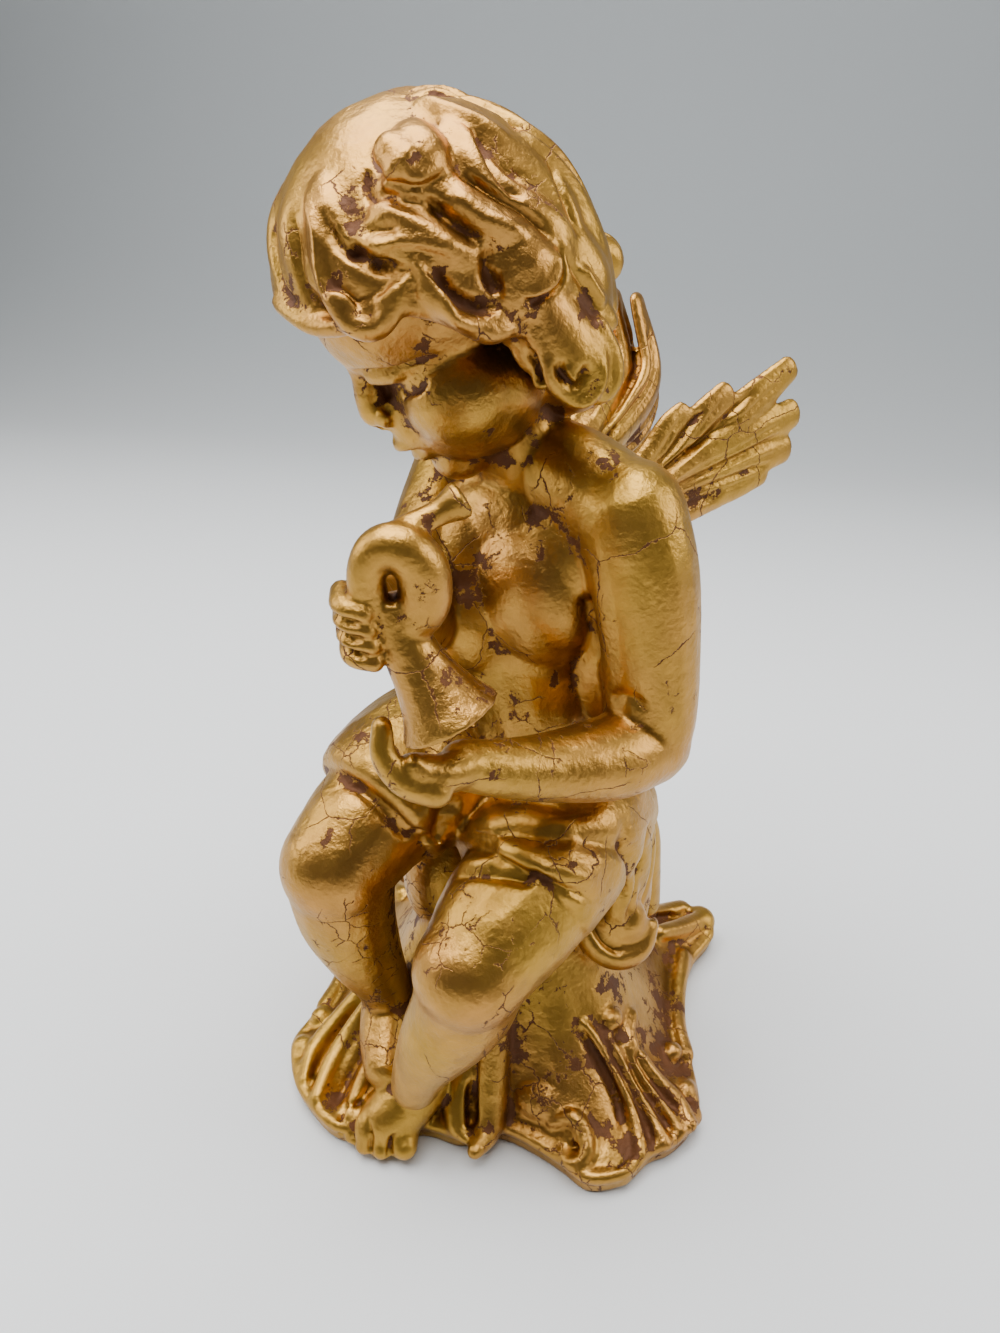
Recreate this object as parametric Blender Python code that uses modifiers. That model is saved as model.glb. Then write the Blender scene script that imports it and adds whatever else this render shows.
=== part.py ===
"""Seated cherub with a hunting horn, cast in one piece with its scrolled base.

Metres, +Z up. The origin is the centre of the flat underside, the front is -Y and +X is the
figure's own left side. The figure is built up as clay: balls and rolls that are pressed into one
body, smoothed as flesh, cloth, hair or feather, then cut with a modelling tool's strokes.
Free-form points are shares of the figure's height, written for a figure 280 units high.
"""
import math

import bmesh
import bpy
import numpy as np
from mathutils import Euler, Matrix, Vector
from mathutils.bvhtree import BVHTree

FIGURE_HEIGHT = 0.280
BASE_WIDTH = 0.134
BASE_DEPTH = 0.116
RIM_HEIGHT = 0.008
RIM_ROLL = 0.0022
GRAIN = 0.0012
TRIANGLES = 9600

SEAT_HEIGHT = 0.070
SEAT_SHARE = 0.36
ROUND_SHARE = 0.87

UNIT = FIGURE_HEIGHT / 280
BODY = Matrix.Scale(UNIT, 4)
HEAD_SIZE = 0.93
HEAD_AT = Vector((-11.5, 4, 242.5))
HEAD_LEFT = Vector((0.50, -0.866, -0.02))
HEAD_BACK = Vector((0.739, 0.415, 0.531))
HEAD_UP = Vector((-0.451, -0.280, 0.847))
CHEST_BACK = Vector((0.53, 0.85, 0))

GOLD = (0.83, 0.56, 0.18, 1)


def frame(at, left, back, up, size=1.0):
    """The place and turn of a part that is modelled in axes of its own."""
    turn = Matrix((left, back, up)).transposed().to_4x4()
    return BODY @ Matrix.Translation(at) @ turn @ Matrix.Scale(size, 4)


def spline(points, steps):
    """A smooth curve through rows of numbers."""
    p = np.array(points, float)
    p = np.vstack([2 * p[0] - p[1], p, 2 * p[-1] - p[-2]])
    curve = []
    for i in range(1, len(p) - 2):
        for t in np.linspace(0, 1, steps, endpoint=False):
            line = 2 * p[i] + (p[i + 1] - p[i - 1]) * t
            bend = (2 * p[i - 1] - 5 * p[i] + 4 * p[i + 1] - p[i + 2]) * t * t
            twist = (3 * p[i] - p[i - 1] - 3 * p[i + 1] + p[i + 2]) * t ** 3
            curve.append((line + bend + twist) / 2)
    curve.append(p[-2])
    return np.array(curve)


def unit(rows):
    return rows / np.maximum(np.linalg.norm(rows, axis=1), 1e-9)[:, None]


class Clay:
    """Lumps and rolls that overlap, in one set of axes, ready to be pressed into one body."""

    def __init__(self, place=BODY):
        self.mesh = bmesh.new()
        self.place = place

    def ball(self, at, radii, turn=(0, 0, 0)):
        spin = Euler([math.radians(angle) for angle in turn]).to_matrix().to_4x4()
        shape = Matrix.Translation(at) @ spin @ Matrix.Diagonal((*radii, 1))
        bmesh.ops.create_icosphere(self.mesh, subdivisions=4, radius=1, matrix=self.place @ shape)

    def roll(self, points, facing=None, away=None, steps=6, sides=16, tip=1.0):
        """A roll through rows of x, y, z, radius and, if flattened, thickness share.

        The thickness is measured along facing, a direction, or away from a point that it lies
        over. A tip of 1 makes the ends round, and one near nought cuts them off square.
        """
        rows = spline(points, steps)
        path, radius = rows[:, :3], np.maximum(rows[:, 3], 1e-5)
        share = rows[:, 4] if rows.shape[1] > 4 else np.ones(len(rows))
        along = unit(np.gradient(path, axis=0))
        if away is not None:
            out = path - np.array(away, float)
        else:
            out = np.tile(np.array(facing if facing is not None else (0.31, 0.87, 0.38), float),
                          (len(path), 1))
        out = unit(out - (out * along).sum(1)[:, None] * along)
        side = np.cross(along, out)
        rings = [(path[i], radius[i], share[i], side[i], out[i]) for i in range(len(path))]
        for angle in (25, 50, 75):
            sink, swell = tip * math.sin(math.radians(angle)), math.cos(math.radians(angle))
            for end, way in ((0, -1), (-1, 1)):
                spot = path[end] + way * along[end] * radius[end] * sink * min(1, share[end] + 0.2)
                ring = (spot, radius[end] * swell, share[end], side[end], out[end])
                rings = rings + [ring] if end else [ring] + rings
        self.loft([[centre + r * math.cos(a) * across + r * flat * math.sin(a) * outward
                    for a in np.linspace(0, 2 * math.pi, sides, endpoint=False)]
                   for centre, r, flat, across, outward in rings])

    def loft(self, rings):
        """A closed skin over rings of as many points each."""
        new = self.mesh.verts.new
        rows = [[new(self.place @ Vector(point)) for point in ring] for ring in rings]
        count = len(rows[0])
        faces = []
        for low, high in zip(rows, rows[1:]):
            for i in range(count):
                j = (i + 1) % count
                faces.append(self.mesh.faces.new((low[i], low[j], high[j], high[i])))
        faces.append(self.mesh.faces.new(rows[0][::-1]))
        faces.append(self.mesh.faces.new(rows[-1]))
        bmesh.ops.recalc_face_normals(self.mesh, faces=faces)

    def add(self, mesh):
        self.mesh.from_mesh(mesh)


def fuse(clays, grain, smooth, factor=0.5):
    """Presses the clay into one skin of even grain and smooths it."""
    mesh = bpy.data.meshes.new("clay")
    whole = bmesh.new()
    for clay in clays:
        part = bpy.data.meshes.new("lump")
        clay.mesh.to_mesh(part)
        whole.from_mesh(part)
        bpy.data.meshes.remove(part)
    whole.to_mesh(mesh)
    body = bpy.data.objects.new("clay", mesh)
    bpy.context.scene.collection.objects.link(body)
    remesh = body.modifiers.new("press", "REMESH")
    remesh.mode = "VOXEL"
    remesh.voxel_size = grain
    if smooth:
        soft = body.modifiers.new("smooth", "SMOOTH")
        soft.factor = factor
        soft.iterations = smooth
    skin = bpy.data.meshes.new_from_object(body.evaluated_get(bpy.context.evaluated_depsgraph_get()))
    bpy.data.objects.remove(body)
    bpy.data.meshes.remove(mesh)
    return skin


def carve(mesh, strokes, place=BODY):
    """Draws a modelling tool over the skin: each stroke is its points, its width and its depth.

    The points are laid on the nearest skin. A depth below nought raises a ridge, and a stroke
    fades at both ends.
    """
    count = len(mesh.vertices)
    spots = np.empty(count * 3)
    mesh.vertices.foreach_get("co", spots)
    spots = spots.reshape(-1, 3)
    normals = np.empty(count * 3)
    mesh.vertices.foreach_get("normal", normals)
    normals = normals.reshape(-1, 3)
    skin = BVHTree.FromPolygons(spots.tolist(), [polygon.vertices for polygon in mesh.polygons])
    size = place.to_scale()[0]
    moved = np.zeros(count)
    for points, width, depth in strokes:
        line = spline(points, 5)
        line = np.array([skin.find_nearest(place @ Vector(point))[0] for point in line])
        reach = 2.2 * width * size
        near = np.all((spots > line.min(0) - reach) & (spots < line.max(0) + reach), axis=1)
        index = np.nonzero(near)[0]
        here = spots[index]
        best = np.full(len(index), 1e9)
        when = np.zeros(len(index))
        pieces = len(line) - 1
        for k in range(pieces):
            step = line[k + 1] - line[k]
            share = np.clip(((here - line[k]) @ step) / max(step @ step, 1e-12), 0, 1)
            gap = np.linalg.norm(here - line[k] - share[:, None] * step, axis=1)
            closer = gap < best
            best[closer] = gap[closer]
            when[closer] = ((k + share) / pieces)[closer]
        fade = np.clip(4 * np.minimum(when, 1 - when), 0, 1)
        fade = fade * fade * (3 - 2 * fade)
        moved[index] -= depth * size * fade * np.exp(-(best / (width * size)) ** 2)
    spots += normals * moved[:, None]
    mesh.vertices.foreach_set("co", spots.ravel())
    mesh.update()


def flesh():
    """Trunk, neck, arms and legs, before the hands and feet have fingers and toes."""
    clay = Clay()
    clay.roll([(4, 14, 70, 25, 0.85), (5, 13, 92, 23.6, 0.86), (5, 11, 107, 22.8, 0.88),
               (3, 11, 124, 23.4, 0.88), (0, 15, 144, 25, 0.84), (-1, 15, 166, 27, 0.74),
               (0, 14, 182, 24, 0.7), (1, 13, 194, 14, 0.9), (-3, 10, 206, 12, 1),
               (-7, 8, 218, 12, 1)], facing=CHEST_BACK)
    clay.ball((5, 2, 163), (18, 14, 22), (8, -6, -32))
    clay.ball((13, 3, 172), (17, 13, 19))
    clay.ball((-14, 10, 164), (15, 14, 22), (0, 8, -32))
    clay.ball((25, 5, 150), (12, 11, 28))
    clay.ball((0, 6, 120), (20, 15, 15))
    clay.ball((5, 5, 147), (17, 12.5, 18))
    clay.ball((-11, 4, 154), (13, 13, 18))
    clay.roll([(0, 14, 200, 10), (13, 8, 195, 13), (27, 0, 189, 14)])
    clay.roll([(-3, 16, 200, 10), (-11, 22, 195, 13), (-20, 29, 188, 14)])
    clay.roll([(29.5, -2, 189, 14.5), (34, -4, 174, 14.4), (37.5, -6, 152, 13.2), (39, -8, 136, 12.4),
               (38.5, -9, 127, 11.6)])
    clay.roll([(39, -9, 128, 12), (30, -21, 129.5, 11.4), (17, -33, 133, 9.2), (6, -43, 138, 7.4),
               (-2, -49, 142, 6.4)])
    clay.roll([(-21, 32, 187, 14), (-24, 14, 174, 13), (-25, -4, 161, 12), (-25, -10, 158, 11.5)])
    clay.roll([(-25, -10, 158, 11.5), (-24.5, -26, 169, 9.5), (-24, -44, 180, 7)])
    clay.roll([(23, 8, 90, 21), (15, -15, 87, 21), (6, -35, 82, 19.6), (0, -48, 76, 16.5)])
    clay.ball((-1, -50, 75), (16, 15.5, 16))
    clay.roll([(-1, -48, 72, 15.5), (-4, -49, 60, 14.5), (-10, -51, 48, 12), (-15, -52, 37, 9),
               (-18, -52, 27, 7.4)])
    clay.roll([(-12, 22, 96, 23), (-24, 2, 102, 22), (-36, -18, 98, 19), (-43, -30, 91, 17)])
    clay.ball((-44, -32, 89), (16.5, 16, 17))
    clay.roll([(-44, -31, 84, 16), (-43, -31, 70, 14.5), (-39, -30, 54, 11.5), (-35, -28, 40, 8.6),
               (-34, -27, 30, 8)])
    return clay


def feet():
    clay = Clay()
    clay.roll([(-17, -44, 18, 8), (-22, -48, 14, 9), (-27, -52, 9.5, 8.8), (-31, -54, 7, 7.6)])
    toes = [(-40.5, -53.5, 2.7), (-37.4, -57.2, 2.8), (-32.6, -59.8, 3), (-27, -60.2, 3.2),
            (-20.4, -58.4, 4.2)]
    for x, y, r in toes:
        clay.roll([(x * 0.6 - 11, y + 9, 9, r + 1.4), (x, y, r + 2, r)])
    clay.roll([(-34, -27, 30, 8.5), (-32, -36, 25, 8.5), (-30, -44, 22, 7)])
    return clay


def hands():
    """The left hand lies under the bell with a finger hooked up; the right fist holds the coil."""
    clay = Clay()
    clay.roll([(-1, -49, 142, 6.2, 0.9), (-6, -55, 143, 6, 0.8), (-11, -59, 146, 4.8, 0.9)])
    clay.roll([(-6, -59, 141, 4), (-12.5, -61.5, 144.5, 3.6), (-17, -61.5, 151, 3.1),
               (-17.8, -59.5, 157.5, 2.4)])
    clay.roll([(-4, -56, 144, 3.2), (-8, -59, 145.5, 3.2), (-10.5, -60.5, 149, 2.6)])
    clay.roll([(-22.5, -50, 184, 6.4, 0.9), (-21.5, -56, 183.5, 6.6, 0.9), (-21, -58, 180.5, 6, 0.9)])
    for k in range(4):
        z = 188.6 - 3.7 * k
        clay.roll([(-25.4 + 0.4 * k, -57, z, 2.7), (-23.2 + 0.5 * k, -62.5, z - 0.6, 2.7),
                   (-18.5 + 0.6 * k, -64, z - 1, 2.2)])
    return clay


def horn():
    """A hunting horn: mouthpiece, one tight coil and an open bell."""
    clay = Clay()
    clay.roll([(-1, -49.8, 208.4, 4.3), (-2.6, -50.8, 207.4, 3.7), (-5.5, -52.2, 205.8, 2.8),
               (-10, -55, 203.8, 3), (-14, -58, 201.4, 3.6)], tip=0.2)
    clay.roll([(-17.5, -59, 184, 4), (-18.3, -60, 189, 4.1), (-18.3, -60.6, 195.4, 4.2),
               (-15.7, -60.2, 200.4, 4.6), (-11.2, -59, 200.8, 5.2), (-7.8, -57.8, 196.6, 5.7),
               (-7.2, -57, 190.5, 5.8), (-8.6, -57, 186, 5.6), (-12, -57.5, 183.5, 5.2)])
    clay.roll([(-15, -58, 188.5, 4.8), (-13.2, -58, 182.6, 5.4), (-10.4, -58, 176, 6.2),
               (-7.4, -58.2, 170.5, 7.4), (-4.6, -58.6, 165.8, 9.2), (-2.8, -58.9, 162.8, 11),
               (-2, -59, 161.4, 12.2)], tip=0.05)
    return clay


def horn_mouth():
    """The hollow of the bell, taken out of it."""
    clay = Clay()
    clay.roll([(0.4, -59.4, 157.4, 11.2), (-2.6, -58.9, 162.4, 9.8), (-4.8, -58.6, 166, 7.4),
               (-7.4, -58.2, 170.5, 5.2), (-9.8, -58, 175, 3.6)])
    return clay


LEFT_QUILLS = [
    [(30, 34, 184, 5), (39, 40, 188, 6), (54, 53.5, 200, 6.4), (67, 65, 211, 4.2)],
    [(29, 32, 186, 5), (37, 38.5, 191, 6), (44, 45.5, 200, 5.6), (50, 51, 207, 3.8)],
    [(28, 30, 188, 4.5), (33, 36, 194, 5.2), (36, 39, 199.5, 4.8), (39, 42, 203.5, 3.4)],
    [(31, 34, 180, 5), (40.5, 41, 186, 6), (57, 55, 192.5, 6.6), (69.5, 66, 198, 4.8)],
    [(31, 34, 177, 5), (42, 41.5, 182, 6), (56.5, 54, 186, 6.4), (68.5, 64.5, 188, 4.8)],
    [(30, 33, 174, 5), (42, 41.5, 178.5, 5.6), (53, 51, 180, 5.8), (62.5, 59, 182, 4.4)],
    [(29, 32, 172, 4.5), (40, 40, 175, 5), (51, 49.5, 177.5, 4.2)],
]
LEFT_FACE = Vector((0.62, -0.79, 0.1))
RIGHT_QUILLS = [
    [(12, 38, 188, 5), (22, 62, 195, 6), (27, 78, 205, 6.4), (21, 83, 225, 4)],
    [(10, 40, 190, 5), (17, 63, 198, 6), (20, 78, 207, 6.2), (14, 84, 226, 4)],
    [(8, 41, 192, 5), (12, 64, 202, 5.6), (13, 78, 213, 5.6), (8, 86, 224, 3.6)],
    [(10, 40, 184, 5), (22, 66, 188, 6), (27, 81, 196, 6.2), (25, 90, 209, 4)],
    [(10, 40, 180, 5), (20, 66, 182, 6), (25, 82, 187, 6), (25, 91, 196, 4)],
    [(10, 39, 176, 5), (18, 60, 177, 5.6), (22, 76, 180, 5.6), (24, 86, 186, 3.8)],
]
RIGHT_FACE = Vector((0.93, -0.3, 0.2))
FEATHER_SHARE = 0.42


def left_wing():
    clay = Clay()
    for quill in LEFT_QUILLS:
        clay.roll([(*row, FEATHER_SHARE) for row in quill], facing=LEFT_FACE)
    clay.roll([(22, 26, 184, 9, 0.7), (30, 34, 184, 10, 0.5), (42, 43.5, 189, 9, 0.38),
               (53, 52, 195, 6, 0.34)],
              facing=LEFT_FACE)
    return clay


def right_wing():
    clay = Clay()
    for quill in RIGHT_QUILLS:
        clay.roll([(*row, FEATHER_SHARE) for row in quill], facing=RIGHT_FACE)
    clay.roll([(5, 32, 184, 9, 0.7), (12, 44, 186, 11, 0.45), (18, 60, 192, 11, 0.36),
               (22, 74, 200, 8, 0.34)],
              facing=RIGHT_FACE)
    return clay


def feather_strokes():
    """Grooves between the feathers, and a shaft down each one, on both faces of both wings."""
    strokes = []
    for quills, face in ((LEFT_QUILLS, LEFT_FACE), (RIGHT_QUILLS, RIGHT_FACE)):
        order = sorted(quills, key=lambda quill: -quill[-1][2])
        for side in (3, -3):
            for quill in quills:
                rows = [Vector(row[:3]) + face * side for row in quill]
                strokes.append((rows, 0.8, 0.5))
            for upper, lower in zip(order, order[1:]):
                rows = [(Vector(a[:3]) + Vector(b[:3])) / 2 + face * side for a, b in zip(upper, lower)]
                strokes.append((rows, 1.2, 1.7))
    return strokes


HEAD = frame(HEAD_AT, HEAD_LEFT, HEAD_BACK, HEAD_UP, HEAD_SIZE)


def skull():
    clay = Clay(HEAD)
    clay.ball((0, -11, 8), (27.5, 29, 24))
    clay.ball((0, -15, -20), (24.5, 21, 20))
    clay.ball((0, -26, -22), (13, 13, 11))
    for side in (1, -1):
        clay.ball((12.5 * side, -18.5, -17), (15, 15, 14))
        clay.ball((11 * side, -20, 7), (13, 16, 11))
    clay.ball((0, -14, -28), (18, 17, 14))
    clay.ball((0, -26, -36), (9.5, 9, 8))
    clay.roll([(0, 4, -20, 17), (0, 10, -34, 14)])
    return clay


def features():
    """Nose, lips and ears of a plump, downcast child's face."""
    clay = Clay(HEAD)
    clay.roll([(0, -35, 2, 3.4), (0, -35.6, -4, 3.8), (0, -37.6, -9.5, 4.4), (0, -38.4, -13, 4.8)])
    clay.ball((0, -37.6, -17), (3, 3.4, 3))
    for side in (1, -1):
        clay.ball((4.4 * side, -36.6, -14.6), (3.6, 4, 3.4))
        clay.ball((31 * side, -1, -12), (3, 5, 8))
        clay.roll([(31 * side, -5, -7, 1.6), (34 * side, -4, -3.5, 2), (35 * side, 1, -3, 2.2),
                   (35 * side, 4, -8, 2.2),
                   (34 * side, 3, -15, 2), (31.5 * side, -3, -20, 2.4)])
    clay.roll([(-8, -32.6, -26, 1.2), (-4, -37, -24.4, 2), (0, -38.6, -24.6, 2.2), (4, -37, -24.4, 2),
               (8, -32.6, -26, 1.2)])
    clay.roll([(-6.5, -32.6, -28.4, 1.4), (0, -35.6, -30, 2.6), (6.5, -32.6, -28.4, 1.4)])
    return clay


def face_strokes():
    """Lids, nostrils, lip line and the soft creases of the face."""
    strokes = [([(-8, -34, -26.8), (-4, -38, -27), (0, -39.5, -27.6), (4, -38, -27), (8, -34, -26.8)],
                1, 1.8),
               ([(-5, -36, -32.5), (0, -37, -33), (5, -36, -32.5)], 1.8, 1.2),
               ([(0, -41.5, -19.5), (0, -41, -22.5)], 1, 0.5)]
    for side in (1, -1):
        for points, width, depth in (
                ([(3, -38, 0), (12, -35, -0.5), (20, -29, -3), (27, -20, -5)], 1.1, 2.1),
                ([(5, -36, -6.4), (12, -33.5, -8.4), (18, -29.5, -8.2), (23, -25, -6)], 1, 1.7),
                ([(6, -37, -3.2), (12, -34, -4.4), (19, -29, -5)], 2.2, -1.5),
                ([(5.5, -37.5, -8.5), (8, -36, -12.5), (8, -37, -16.5), (4.5, -40, -18.5)], 1.2, 1.6),
                ([(2.2, -42, -18), (3.8, -41, -18)], 1, 1.2),
                ([(8, -36, -18), (11, -33, -22)], 2, 0.6)):
            strokes.append(([(x * side, y, z) for x, y, z in points], width, depth))
    return strokes


CAP_AT = (0, -7.5, 0)
CAP = (35, 41, 46.5)
HEM = [(0, 24), (20, 21), (36, 16.5), (50, 14.5), (62, 15.5), (70, 13.5), (78, 8.5), (84, 3), (90, -1),
       (97, -5),
       (110, -12), (130, -20), (155, -26), (180, -27), (205, -26), (230, -20), (250, -12), (262, -5),
       (270, 0),
       (282, 8), (296, 14), (312, 17), (330, 17), (345, 21), (360, 24)]


def on_cap(turn, z, lift=0.0):
    """A point of the hair's round mass at a turn in degrees from the front and a height."""
    angle, span = math.radians(turn), math.sqrt(max(0, 1 - (z / CAP[2]) ** 2))
    out = Vector((CAP[0] * span * math.sin(angle), -CAP[1] * span * math.cos(angle), z))
    return Vector(CAP_AT) + out + out.normalized() * lift


def hem_height(turn):
    turns, heights = zip(*HEM)
    return float(np.interp(turn % 360, turns, heights))


def cap():
    """The round mass of the hair, thin at its lower edge."""
    clay = Clay(HEAD)
    turns = np.arange(0, 360, 6)
    rings = []
    for share in (0.04, 0.15, 0.3, 0.45, 0.6, 0.75, 0.88, 1):
        ring = []
        for turn in turns:
            low = math.acos(hem_height(turn) / CAP[2])
            ring.append(on_cap(turn, CAP[2] * math.cos(low * share)))
        rings.append(ring)
    rings.append([on_cap(turn, hem_height(turn) - 1.5, -2) for turn in turns])
    rings.append([on_cap(turn, hem_height(turn) - 1, -7) for turn in turns])
    rings.append([on_cap(turn, hem_height(turn) + 10, -18) for turn in turns])
    clay.loft(rings)
    return clay


def hair():
    """Knob over the brow, sweeping locks, the round side curl, the hanging lock and the locks behind."""
    clay = Clay(HEAD)
    centre = (0, -6, 2)
    knob = [(17.5, 3, 34.5, 4), (20, 1, 35, 6), (24, -1, 33.2, 7.4), (27, -2.8, 30, 6.2),
            (28.5, -3.8, 27, 3.4)]
    temple = [
        [(25, -21, 27.6, 3.2, 0.7), (28.4, -15.7, 26.8, 4.2, 0.7), (30.4, -10.7, 23.8, 4.6, 0.7),
         (32.4, -6.5, 18, 4.4, 0.7), (33.6, -1.6, 12, 4, 0.7), (34, 3, 8, 3.4, 0.7)],
        [(25.5, -14, 31, 1.6), (29, -8.5, 27, 2.2), (31.8, -5, 21.4, 2.2), (33.6, -0.5, 15.4, 1.8)],
        [(26.5, -23, 24.8, 1.8), (30, -18.6, 23.6, 2), (32.2, -14, 21, 2), (34, -9.4, 16.4, 2),
         (35, -1, 10.4, 1.6)],
        [(27, 0, 28.5, 4, 0.8), (30, 1.5, 22, 5, 0.8), (32, 5, 15, 5.6, 0.8), (32, 9, 9.5, 5.6, 0.8),
         (32, 11, 4, 5, 0.8)],
        [(20.5, 9, 33.5, 3, 0.8), (25.5, 8.5, 27.5, 4, 0.8), (29, 9.5, 19.5, 4.4, 0.8),
         (30, 13.5, 12.5, 4.4, 0.8), (30, 16.5, 6, 4.4, 0.8), (29.5, 16, 0, 4, 0.8),
         (31, 12, -4, 3.6, 0.8), (33, 7, -5, 3, 0.8)],
        [(25, -25, 20, 4, 0.5), (30, -19, 16.5, 6, 0.5), (33, -11, 12, 7, 0.5), (34.5, -4, 5, 5, 0.5)],
        [(31.5, -14, 20.5, 1.8), (33.5, -14.5, 14.5, 2.4), (35, -13, 9, 2.6), (36, -10, 3.5, 2.6),
         (36.5, -5, -0.5, 2.2)],
    ]
    behind = [
        [(12, 8, 38, 4, 0.6), (16, 12.5, 33.5, 6, 0.6), (19, 16.5, 25.5, 6.6, 0.6),
         (22, 19, 17, 6.6, 0.6), (24.5, 21, 9.5, 6, 0.6), (26.5, 19.5, 1, 5, 0.7),
         (27, 18, -8, 4.5, 0.7), (27, 17, -18, 3.5, 0.8)],
        [(-4, 7, 41, 4, 0.6), (5, 12.5, 38, 5, 0.6), (11, 17, 32.5, 5.4, 0.6),
         (14.5, 21.5, 24.5, 5.4, 0.7), (17, 25.5, 15, 5.6, 0.7), (19, 25.5, 4, 6.4, 0.7),
         (20, 24, -7, 6.4, 0.7), (20, 23, -15, 4.6, 0.7), (19.4, 22.6, -20, 2.8, 0.8)],
        [(26, 19, 0, 6, 0.8), (25, 20, -9, 6, 0.8), (24, 19, -16, 4.6, 0.8)],
        [(30, 13, -2, 6, 0.8), (28.5, 15.5, -9, 5.4, 0.8), (28, 17, -15, 4.4, 0.8),
         (28, 18, -19, 3.2, 0.8)],
    ]
    brow = [
        [(14, -20, 38.5, 4, 0.6), (18.5, -23, 34.5, 5, 0.6), (22.5, -25.5, 28.5, 5, 0.6),
         (26.5, -25, 22, 5, 0.6), (30, -20, 18, 3, 0.6)],
        [(14.5, -22.5, 38.5, 1.8), (18, -26, 34, 2.4), (20.5, -29, 28.5, 2.7), (23.5, -31, 22, 2.7),
         (26.5, -30, 17, 2.2)],
        [(3, -20, 41.5, 4, 0.6), (8.5, -28, 36, 6, 0.6), (13, -32, 29.5, 6, 0.6),
         (17, -33.5, 22, 5, 0.6), (21, -33, 17, 3, 0.6)],
        [(-7, -20, 41.5, 4, 0.6), (-3, -30.5, 35, 6, 0.6), (3, -36, 28, 6, 0.6),
         (9, -37.5, 22, 4, 0.6)],
        [(-14, -17, 40, 4, 0.6), (-13, -29, 34, 6, 0.6), (-9, -35.5, 27, 6, 0.6),
         (-2, -38.5, 22, 4, 0.6)],
        [(-18, -12, 38, 4, 0.6), (-22, -22, 31, 6, 0.6), (-21, -29.5, 24, 6, 0.6),
         (-15, -35.5, 18, 4, 0.6)],
    ]
    hanging = [
        [(34, 6, -4, 6, 0.6), (34.5, 6.5, -15, 7.6, 0.6), (34.5, 7, -21.5, 7.8, 0.6),
         (34, 7.5, -25.5, 6.2, 0.6)],
        [(35.5, 0, -8, 2), (36.5, -0.5, -16, 2.3), (36, 1.5, -24, 2.4), (35, 6, -30, 2.4),
         (34, 11, -30, 2.4), (33.5, 14, -25, 2.4), (33.5, 14.5, -17, 2.3)],
        [(35.5, 5, -10, 1.4), (37, 4.5, -18, 1.8), (36.5, 6.5, -24, 1.6), (35.5, 9.5, -24, 1.4)],
        [(31, 12, 9, 3), (32, 14, 3.5, 3.6), (32.5, 11.5, -2, 3.6), (34.5, 5.5, -3.5, 3.4),
         (35.6, 0.5, -1, 3), (36, 0, 4, 2.6), (36, 3, 7.5, 2)],
    ]
    clay.ball((32.5, 6, 4), (6, 8, 8.5))
    clay.ball((12.5, 28.5, -12), (5, 5, 6.5))
    for lock in [knob] + temple + behind + brow + hanging:
        clay.roll(lock, away=centre)
    hem = []
    for turn in range(8, 102, 5):
        lift = 0.4 - max(0, 50 - turn) / 30
        hem.append((*on_cap(turn, hem_height(turn) + 0.6, lift), 2.4))
    clay.roll(hem, steps=3)
    for k in range(11):
        turn = 152 + 17.5 * k
        lean = 7 * math.sin(2.1 * k)
        points = []
        for share, r in ((0.2, 3.5), (0.4, 6), (0.6, 7), (0.8, 6.4), (0.97, 3.6)):
            side = turn + lean * math.sin(3.4 * share)
            low = math.acos(hem_height(side) / CAP[2])
            points.append((*on_cap(side, CAP[2] * math.cos(low * share), -2.8), r, 0.6))
        clay.roll(points, away=centre)
    for k in range(10):
        turn = 104 + 17 * k
        curl = 5 * math.sin(1.9 * k + 1)
        points = []
        for z, span, r in ((-8, 0.98, 5), (-17, 0.9, 5.8), (-26, 0.76, 5.4), (-32, 0.66, 4.2),
                           (-36, 0.62, 3)):
            side = math.radians(turn + curl * (-8 - z) / 10)
            points.append((33 * span * math.sin(side), -6 - 32.5 * span * math.cos(side),
                           z + abs(curl) * 0.6, r, 0.8))
        clay.roll(points, away=(0, 0, -15))
    return clay


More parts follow.
